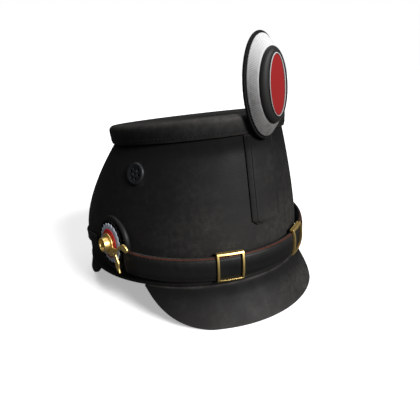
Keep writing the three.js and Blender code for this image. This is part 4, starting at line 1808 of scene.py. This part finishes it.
@dataclass
class Cockade:
    """The side cockade: a padded ring, black rays, a white rosette, a red ring, the post and its claw."""

    finishes: Wardrobe
    side: Side
    turn: float = 77.1
    height: float = 30.2
    reach: float = 18.0
    yaw: float = 9.0
    ring_inner: Point = (16.8, 17.4)
    ring_outer: Point = (20.2, 21.8)
    ring_flat: float = 2.4
    ring_over: float = 2.8
    ring_level: float = 0.45
    ring_middle: float = 0.36
    ring_swell: Point = (1.28, 0.72)
    ring_faces: tuple[int, int] = (144, 24)
    gathers: float = 0.05
    eye: float = 5.8
    rays: int = 30
    ray_steps: int = 6
    ray_reach: Point = (-0.16, 0.3)
    ray_curve: float = 1.2
    ray_flat: float = 15.0
    ray_levels: Point = (1.8, 2.4)
    ray_least: float = 1.7
    ray_clear: float = 0.12
    ray_bend_from: float = 15.4
    ray_bend: Point = (0.45, 0.35)
    ray_thick: Point = (0.6, 0.35)
    ray_tip_inset: float = 0.1
    teeth: int = 22
    tooth_steps: int = 8
    tooth_reach: Point = (14.7, 15.9)
    tooth_rows: tuple[Point, ...] = ((-0.2, 2.72), (0.0, 2.8), (0.0, 3.05), (-0.3, 3.2))
    flute: float = 0.16
    flute_foot: Size = (13.2, 3.33, 0.6)
    rosette_flat: Point = (11.0, 11.4)
    rosette_levels: Point = (2.7, 3.4)
    red_rows: tuple[Point, ...] = (
        (5.8, 3.72), (11.1, 3.7), (11.4, 3.8), (11.4, 3.95), (11.2, 4.15), (10.8, 4.27), (10.3, 4.32),
        (7.5, 4.36), (6.1, 4.36), (5.8, 4.25),
    )
    post_rows: tuple[Point, ...] = (
        (0.5, 1.1), (5.3, 1.1), (5.5, 1.3), (5.5, 9.8), (5.42, 10.05), (5.2, 10.2), (4.75, 10.2),
        (4.5, 10.05), (4.4, 9.8), (4.3, 7.3), (4.1, 7.05), (3.6, 7.0), (0.5, 7.0),
    )

    def place(self) -> Matrix:
        """The cockade's place on the body, turned so that its discs face straight sideways."""
        turned_out = Matrix.Rotation(self.side.value * math.radians(self.yaw), 4, "Y")
        return BODY.place(self.side, self.turn, self.height, self.reach) @ turned_out

    def ring_point(self, place: Matrix, angle: float, across: float, rise: float) -> Vector:
        """A point of the padded ring.

        Args:
            place: The cockade's place on the body.
            angle: The angle round the post.
            across: The share of the way from the ring's inner to its outer edge.
            rise: The share of the way from the body to the ring's top.

        Returns:
            The point in the cockade's own frame.
        """
        x = lerp(self.ring_inner[0], self.ring_outer[0], across) * math.cos(angle)
        y = lerp(self.ring_inner[1], self.ring_outer[1], across) * math.sin(angle)
        wall = BODY.height_over(place, x, y)
        top = lerp(wall + self.ring_over, max(self.ring_flat, wall), self.ring_level)
        return Vector((x, y, lerp(wall + GAP, top, rise)))

    def build(self) -> None:
        """Models the pieces and dresses them."""
        wear, word, place = self.finishes, self.side.word, self.place()
        rim, rays, rosette = self._rim(place), self._rays(place), self._rosette()
        red_ring = turned(self.red_rows, around=72, ends=Ends.JOINED)
        post = turned(self.post_rows, around=48, ends=Ends.CAPPED)
        for piece, name, finish, slot, node in (
            (rim, "cockade_pad", wear.pad, "black_leather", "cockade_rim"),
            (rays, "cockade_rays", wear.black_paint, "black_enamel", "cockade_black"),
            (rosette, "cockade_rosette", wear.white_paint, "white_enamel", "cockade_white"),
            (red_ring, "cockade_red_ring", wear.red_paint, "red_enamel", "cockade_red"),
            (post, "post", wear.brass, "brass", "strap_post"),
            (Claw(self.side).model(), "claw", wear.brass, "brass", "strap_claw"),
        ):
            dress(piece, f"{name}_{word}", [finish], [f"{node}_{word}"], place, sharp=40.0)

    def _rim(self, place: Matrix) -> bpy.types.Object:
        """The padded ring, gathered along its inner side and laid on the curve of the body.

        Args:
            place: The cockade's place on the body.

        Returns:
            The ring in the cockade's own frame.
        """
        long_way, short_way = self.ring_faces
        piece = primitive("torus", major_radius=1.0, minor_radius=0.5, major_segments=long_way,
                          minor_segments=short_way)
        upper, lower = self.ring_swell
        for vertex in piece.data.vertices:
            x, y, z = vertex.co
            angle, across = math.atan2(y, x), math.hypot(x, y) - 0.5
            gather = self.gathers * smooth_share(across, 0.5, 0.0) * math.cos(2 * self.rays * angle)
            swell = self.ring_middle + (upper if z > 0 else lower) * z
            vertex.co = self.ring_point(place, angle, across, max(swell + gather * swell, 0.0))
        return piece

    @staticmethod
    def _tooth(angle: float, count: int) -> float:
        """How near a point of an edge with count teeth lies to a tip, from 0 to 1."""
        return abs(((angle * count / FULL_TURN) % 1.0) * 2 - 1)

    @staticmethod
    def _disc(count: int, section: Callable[[float], Sequence[Point]]) -> bpy.types.Object:
        """A disc round the post.

        Args:
            count: How many sections it has.
            section: Gives the closed section of radius and height at an angle.

        Returns:
            The disc in the cockade's own frame.
        """
        stations = []
        for step in range(count + 1):
            angle = FULL_TURN * step / count
            direction = Vector((math.cos(angle), math.sin(angle), 0))
            stations.append([direction * radius + Vector((0, 0, z)) for radius, z in section(angle)])
        return loft(stations)

    def _rays(self, place: Matrix) -> bpy.types.Object:
        """The black disc, whose pointed rays lie up on the padded ring.

        Args:
            place: The cockade's place on the body.

        Returns:
            The disc in the cockade's own frame.
        """
        low, high = self.ray_levels

        def section(angle: float) -> list[Point]:
            """Flat round the post, with a ray's tip rising over the ring.

            Args:
                angle: The angle round the post.

            Returns:
                Rows of radius and height.
            """
            across = lerp(*self.ray_reach, self._tooth(angle, self.rays) ** self.ray_curve)
            round_top = math.sqrt(max(1 - (2 * across - 1) ** 2, 0.0))
            tip = self.ring_point(place, angle, across, lerp(self.ring_middle, 1.0, round_top))
            radius, top = math.hypot(tip.x, tip.y), max(tip.z, self.ray_least) + self.ray_clear
            along, up = self.ray_bend
            bend, slope = lerp(self.ray_bend_from, radius, along), lerp(low, top, up)
            bend_thick, tip_thick = self.ray_thick
            return [(self.eye, low), (self.ray_flat, low), (bend, slope), (radius, top),
                    (radius - self.ray_tip_inset, top + tip_thick), (bend, slope + bend_thick),
                    (self.ray_flat, high), (self.eye, high)]

        return self._disc(self.rays * self.ray_steps, section)

    def _rosette(self) -> bpy.types.Object:
        """The white disc with a toothed and fluted edge.

        Returns:
            The disc in the cockade's own frame.
        """
        def section(angle: float) -> list[Point]:
            """Flat in the middle, fluted towards the teeth.

            Args:
                angle: The angle round the post.

            Returns:
                Rows of radius and height.
            """
            tooth = self._tooth(angle, self.teeth)
            tip, flute = lerp(*self.tooth_reach, tooth), self.flute * (tooth - 0.5)
            (under, face), (low, high) = self.rosette_flat, self.rosette_levels
            foot, foot_up, part = self.flute_foot
            teeth = [(tip + out, up + flute) for out, up in self.tooth_rows]
            return [(self.eye, low), (under, low), *teeth, (foot, foot_up + part * flute), (face, high),
                    (self.eye, high)]

        return self._disc(self.teeth * self.tooth_steps, section)


@dataclass
class Claw:
    """The brass claw: an eye on the post and two arms that hold the strap's end, cast in one."""

    side: Side
    bottom: float = 4.6
    thick: float = 1.35
    eye: float = 8.5
    eye_edge: float = 0.4
    eye_shoulder: Point = (0.5, 0.1)
    bore: float = 5.8
    bore_edge: float = 0.2
    bend_from: float = 9.3
    bend: float = 40.0
    voxel: float = 0.24
    arms: tuple[Point, ...] = (
        (3, 1.5), (9.7, 0.1), (14.3, 0.7), (17.6, 3.5), (20.8, 6.2), (23.4, 5.6), (25.8, 2.4), (24.7, 0.2),
        (21.4, 1.1), (18.8, 2.6), (15.8, -0.8), (13.4, -4.1), (14.2, -6.2), (16.8, -10.5), (17, -14.8),
        (18.1, -18.7), (15.6, -17.4), (13.3, -14.3), (12.5, -10.4), (11.6, -7.1), (8.3, -7.3), (4.2, -8.2),
    )
    arm_steps: int = 4
    hole: Point = (10.5, -3.5)
    hole_radius: float = 0.95

    def model(self) -> bpy.types.Object:
        """Models the claw as one cast piece.

        Returns:
            The claw in the cockade's own frame.
        """
        piece = join([self._arms(), self._eye()])
        modify(piece, "REMESH", mode="VOXEL", voxel_size=self.voxel)
        cut_with(piece, [self._drill((0.0, 0.0), self.bore), self._drill(self.hole, self.hole_radius)])
        modify(piece, "SMOOTH", factor=0.5, iterations=5)
        forward = -self.side.value
        for vertex in piece.data.vertices:
            past = max(abs(vertex.co.x) - self.bend_from, 0.0)
            drop = past * past / (2 * self.bend)
            vertex.co = (vertex.co.x * forward, vertex.co.y, vertex.co.z + self.bottom - drop)
        edit(piece)
        close_edit()
        return piece

    def _eye(self) -> bpy.types.Object:
        """The flat ring on the post, with rounded edges.

        Returns:
            The ring about the post's axis.
        """
        inner, outer, thick = self.bore, self.eye, self.thick
        edge, soft, (shoulder, swell) = self.eye_edge, self.bore_edge, self.eye_shoulder
        rows = [(inner, soft), (inner + edge, 0.0), (outer - edge, 0.0), (outer, edge),
                (outer, thick - edge), (outer - shoulder, thick), (inner + shoulder, thick + swell),
                (inner, thick - soft)]
        return turned(rows, around=72, ends=Ends.JOINED)

    @staticmethod
    def _drill(middle: Point, radius: float) -> bpy.types.Object:
        """A round tool that goes right through the claw."""
        return primitive("cylinder", vertices=64, radius=radius, depth=12.0, location=(*middle, 0.0))

    def _arms(self) -> bpy.types.Object:
        """The two arms, from their outline.

        Returns:
            The arms, as thick as the claw.
        """
        outline = through(self.arms, self.arm_steps, closed=True)
        piece = primitive("circle", vertices=len(outline), radius=1.0, fill_type="NGON")
        for vertex, (x, y) in zip(piece.data.vertices, outline):
            vertex.co = (x, y, 0.0)
        edit(piece)
        bpy.ops.mesh.extrude_region_move(TRANSFORM_OT_translate={"value": (0, 0, self.thick)})
        close_edit()
        return piece


@dataclass
class Buckle:
    """A brass slide on the strap: a bowed frame whose upper bar reaches back over the strap's edge."""

    finishes: Wardrobe
    side: Side
    strap: ChinStrap
    turn: float = 21.6
    raise_by: float = 1.1
    reach: float = 6.0
    width: float = 20.4
    height: float = 22.2
    side_bar: float = 1.6
    cross_bar: float = 1.4
    seat: float = 6.25
    thick: float = 1.8
    hook: float = 2.5
    hook_inset: float = 0.1
    bow: float = 1.0
    lip: float = 0.9
    wrap: float = 184.0
    edge_round: float = 0.42
    nub: Size = (2.6, 1.4, 1.3)
    nub_bite: float = 0.4
    nub_round: float = 0.35

    def build(self) -> None:
        """Models the slide and dresses it."""
        piece = self._frame()
        self._hook(piece)
        self._bow(piece)
        round_edges(piece, self.edge_round, segments=3, degrees=40.0)
        piece = join([piece, self._nub()])
        level = self.strap.middle_height(self.turn) + self.raise_by
        place, word = BODY.place(self.side, self.turn, level, self.reach), self.side.word
        brass = [self.finishes.brass]
        dress(piece, f"slide_{word}", brass, [f"buckle_{word}"], place, sharp=35.0)

    @staticmethod
    def _lines(full: float, bar: float) -> tuple[float, ...]:
        """The outer and inner edges of two bars, from one side of the frame to the other."""
        return (-full / 2, bar - full / 2, full / 2 - bar, full / 2)

    def _frame(self) -> bpy.types.Object:
        """A grid of three by three, its lines moved to the bars, its middle cut out, made thick.

        Returns:
            The flat frame.
        """
        def in_middle(face: bpy.types.MeshPolygon) -> bool:
            """Whether a face is the frame's opening."""
            return face.center.xy.length < self.side_bar

        cells = 3
        piece = primitive("grid", x_subdivisions=cells, y_subdivisions=cells, size=cells)
        x_lines, y_lines = self._lines(self.width, self.side_bar), self._lines(self.height, self.cross_bar)
        for vertex in piece.data.vertices:
            column, row = round(vertex.co.x + cells / 2), round(vertex.co.y + cells / 2)
            vertex.co = (x_lines[column], y_lines[row], self.seat)
        edit_faces(piece, in_middle)
        bpy.ops.mesh.delete(type="FACE")
        bpy.ops.mesh.select_all(action="SELECT")
        bpy.ops.mesh.extrude_region_move(TRANSFORM_OT_translate={"value": (0, 0, self.thick)})
        close_edit()
        return piece

    def _hook(self, piece: bpy.types.Object) -> None:
        """Draws the underside of the upper bar back over the strap.

        Args:
            piece: The flat frame.
        """
        low, side = self.height / 2 - self.cross_bar, self.width / 2 - self.hook_inset

        def under_bar(face: bpy.types.MeshPolygon) -> bool:
            """Whether a face is on the underside of the upper bar."""
            return face.center.y > low and abs(face.center.x) < side and face.normal.z < -0.5

        edit_faces(piece, under_bar)
        bpy.ops.mesh.select_mode(type="FACE")
        bpy.ops.mesh.extrude_region_move(TRANSFORM_OT_translate={"value": (0, 0, self.hook - self.seat)})
        bpy.ops.mesh.select_mode(type="VERT")
        close_edit()

    def _bow(self, piece: bpy.types.Object) -> None:
        """Bows the frame with the strap's rounded face and round the hat.

        Args:
            piece: The frame with its hook.
        """
        edit(piece)
        bpy.ops.mesh.subdivide(number_cuts=3)
        close_edit()
        for vertex in piece.data.vertices:
            x, y, z = vertex.co
            if z > self.seat - GAP:
                vertex.co.z = z - self._drop(y) - x * x / self.wrap

    def _drop(self, y: float) -> float:
        """How far the frame falls away from its middle, most of all at its two cross bars."""
        share = abs(2 * y / self.height)
        return self.bow * share ** 2 + self.lip * share ** 4

    def _nub(self) -> bpy.types.Object:
        """The small nub below the upper bar.

        Returns:
            The nub.
        """
        top = self.height / 2 - self.cross_bar
        forward = self.seat + self.thick / 2 - self._drop(top)
        nub = block(self.nub, (0, top - self.nub[1] / 2 + self.nub_bite, forward))
        modify(nub, "BEVEL", width=self.nub_round, segments=2)
        return nub


# Studio

@dataclass(frozen=True)
class StudioLight:
    """A far soft light, by its direction from the hat."""

    name: str
    azimuth: float
    elevation: float
    strength: float
    spread: float

    def build(self) -> None:
        """Hangs the light."""
        turn, lift = math.radians(self.azimuth), math.radians(self.elevation)
        away = Vector((math.sin(turn) * math.cos(lift), -math.cos(turn) * math.cos(lift), math.sin(lift)))
        data = bpy.data.lights.new(self.name, "SUN")
        data.energy, data.angle = self.strength, math.radians(self.spread)
        light = bpy.data.objects.new(self.name, data)
        light.location = away
        light.rotation_euler = (-away).to_track_quat("-Z", "Y").to_euler()
        bpy.context.scene.collection.objects.link(light)


@dataclass
class Studio:
    """The pale floor, the soft light and the camera at the photograph's angle."""

    azimuth: float = -36.41
    elevation: float = 16.94
    roll: float = -5.3
    right: float = 18.48
    up: float = 27.96
    distance: float = 391.14
    lens: float = 34.228
    sensor: float = 36.0
    nearest: float = 0.01
    floor_half: float = 8.0
    floor_colour: Colour = (0.92, 0.92, 0.92)
    floor_bounce: Colour = (0.07, 0.07, 0.07)
    floor_glow: float = 0.42
    sky_behind: float = 0.03
    sky_before: float = 0.13
    sky_front: Size = (-0.25, -0.9, 0.35)
    sky_span: Point = (-0.1, 0.8)
    lights: tuple[StudioLight, ...] = (
        StudioLight("key", 6.0, 28.0, 4.5, 22.0),
        StudioLight("top", 180.0, 78.0, 1.2, 45.0),
        StudioLight("far", 100.0, 45.0, 0.2, 40.0),
    )

    def build(self) -> None:
        """Makes the floor, the lights and the camera."""
        self._floor()
        self._sky()
        for light in self.lights:
            light.build()
        self._camera()
        bpy.context.scene.view_settings.view_transform = "Standard"

    def _floor(self) -> None:
        """A wide plain floor, pale to the eye, that throws little light back up."""
        floor = primitive("plane", size=2 * self.floor_half)
        floor.name = "floor"
        finish = Finish("floor_paper")
        finish.fix(Base_Color=rgba(self.floor_colour), Roughness=0.9, Specular_IOR_Level=0.0,
                   Emission_Color=rgba(self.floor_colour), Emission_Strength=self.floor_glow)
        sheet = finish.sheet
        dim = sheet.add("ShaderNodeBsdfDiffuse", {"Color": rgba(self.floor_bounce)})
        seen = sheet.add("ShaderNodeLightPath").outputs["Is Camera Ray"]
        paper = sheet.add("ShaderNodeMixShader", {0: seen, 1: dim.outputs[0], 2: finish.shader.outputs[0]})
        sheet.tree.links.new(paper.outputs[0], sheet.tree.nodes["Material Output"].inputs["Surface"])
        floor.data.materials.append(finish.material)

    def _sky(self) -> None:
        """Soft light, brighter before the hat than behind it, with a white backdrop."""
        world = bpy.data.worlds.new("studio")
        world.use_nodes = True
        sheet = NodeSheet(world.node_tree)
        white = rgba((1.0, 1.0, 1.0))
        way = sheet.add("ShaderNodeTexCoord").outputs["Generated"]
        ahead = sheet.add("ShaderNodeVectorMath", {0: way, 1: self.sky_front}, operation="DOT_PRODUCT")
        strength = sheet.spread(ahead.outputs["Value"], *self.sky_span, self.sky_behind, self.sky_before)
        light = sheet.add("ShaderNodeBackground", {"Color": white, "Strength": strength})
        backdrop = sheet.add("ShaderNodeBackground", {"Color": white, "Strength": 1.0})
        seen = sheet.add("ShaderNodeLightPath").outputs["Is Camera Ray"]
        sky = sheet.add("ShaderNodeMixShader", {0: seen, 1: light.outputs[0], 2: backdrop.outputs[0]})
        world.node_tree.links.new(sky.outputs[0], world.node_tree.nodes["World Output"].inputs["Surface"])
        bpy.context.scene.world = world

    def _camera(self) -> None:
        """A camera set by the hat's own frame, as the photograph sees it."""
        turn, lift, roll = (math.radians(angle) for angle in (self.azimuth, self.elevation, self.roll))
        back = Vector((math.sin(turn) * math.cos(lift), -math.cos(turn) * math.cos(lift), math.sin(lift)))
        level_right = Vector((math.cos(turn), math.sin(turn), 0))
        level_up = back.cross(level_right)
        right = level_right * math.cos(roll) + level_up * math.sin(roll)
        up = level_up * math.cos(roll) - level_right * math.sin(roll)
        eye = right * self.right + up * self.up + back * self.distance
        stand = STAND.matrix()
        turned_axes = stand.to_quaternion().to_matrix() @ Matrix((right, up, back)).transposed()
        data = bpy.data.cameras.new("camera")
        data.lens, data.sensor_width, data.clip_start = self.lens, self.sensor, self.nearest
        camera = bpy.data.objects.new("camera", data)
        camera.matrix_world = Matrix.Translation(stand @ eye) @ turned_axes.to_4x4()
        bpy.context.scene.collection.objects.link(camera)
        bpy.context.scene.camera = camera


def main() -> None:
    """Builds the hat piece by piece, then the studio."""
    logging.basicConfig(level=logging.INFO, format="%(name)s %(message)s")
    finishes = Wardrobe()
    Studio().build()
    Crown(finishes).build()
    CrownTop(finishes).build()
    FrontPeak(finishes).build()
    RearPeak(finishes).build()
    strap = ChinStrap(finishes)
    strap.build()
    RearBand(finishes).build()
    FrontTab(finishes).build()
    Badge(finishes).build()
    for side in Side:
        Vent(finishes, side).build()
        Cockade(finishes, side).build()
        Buckle(finishes, side, strap).build()


if __name__ == "__main__":
    main()
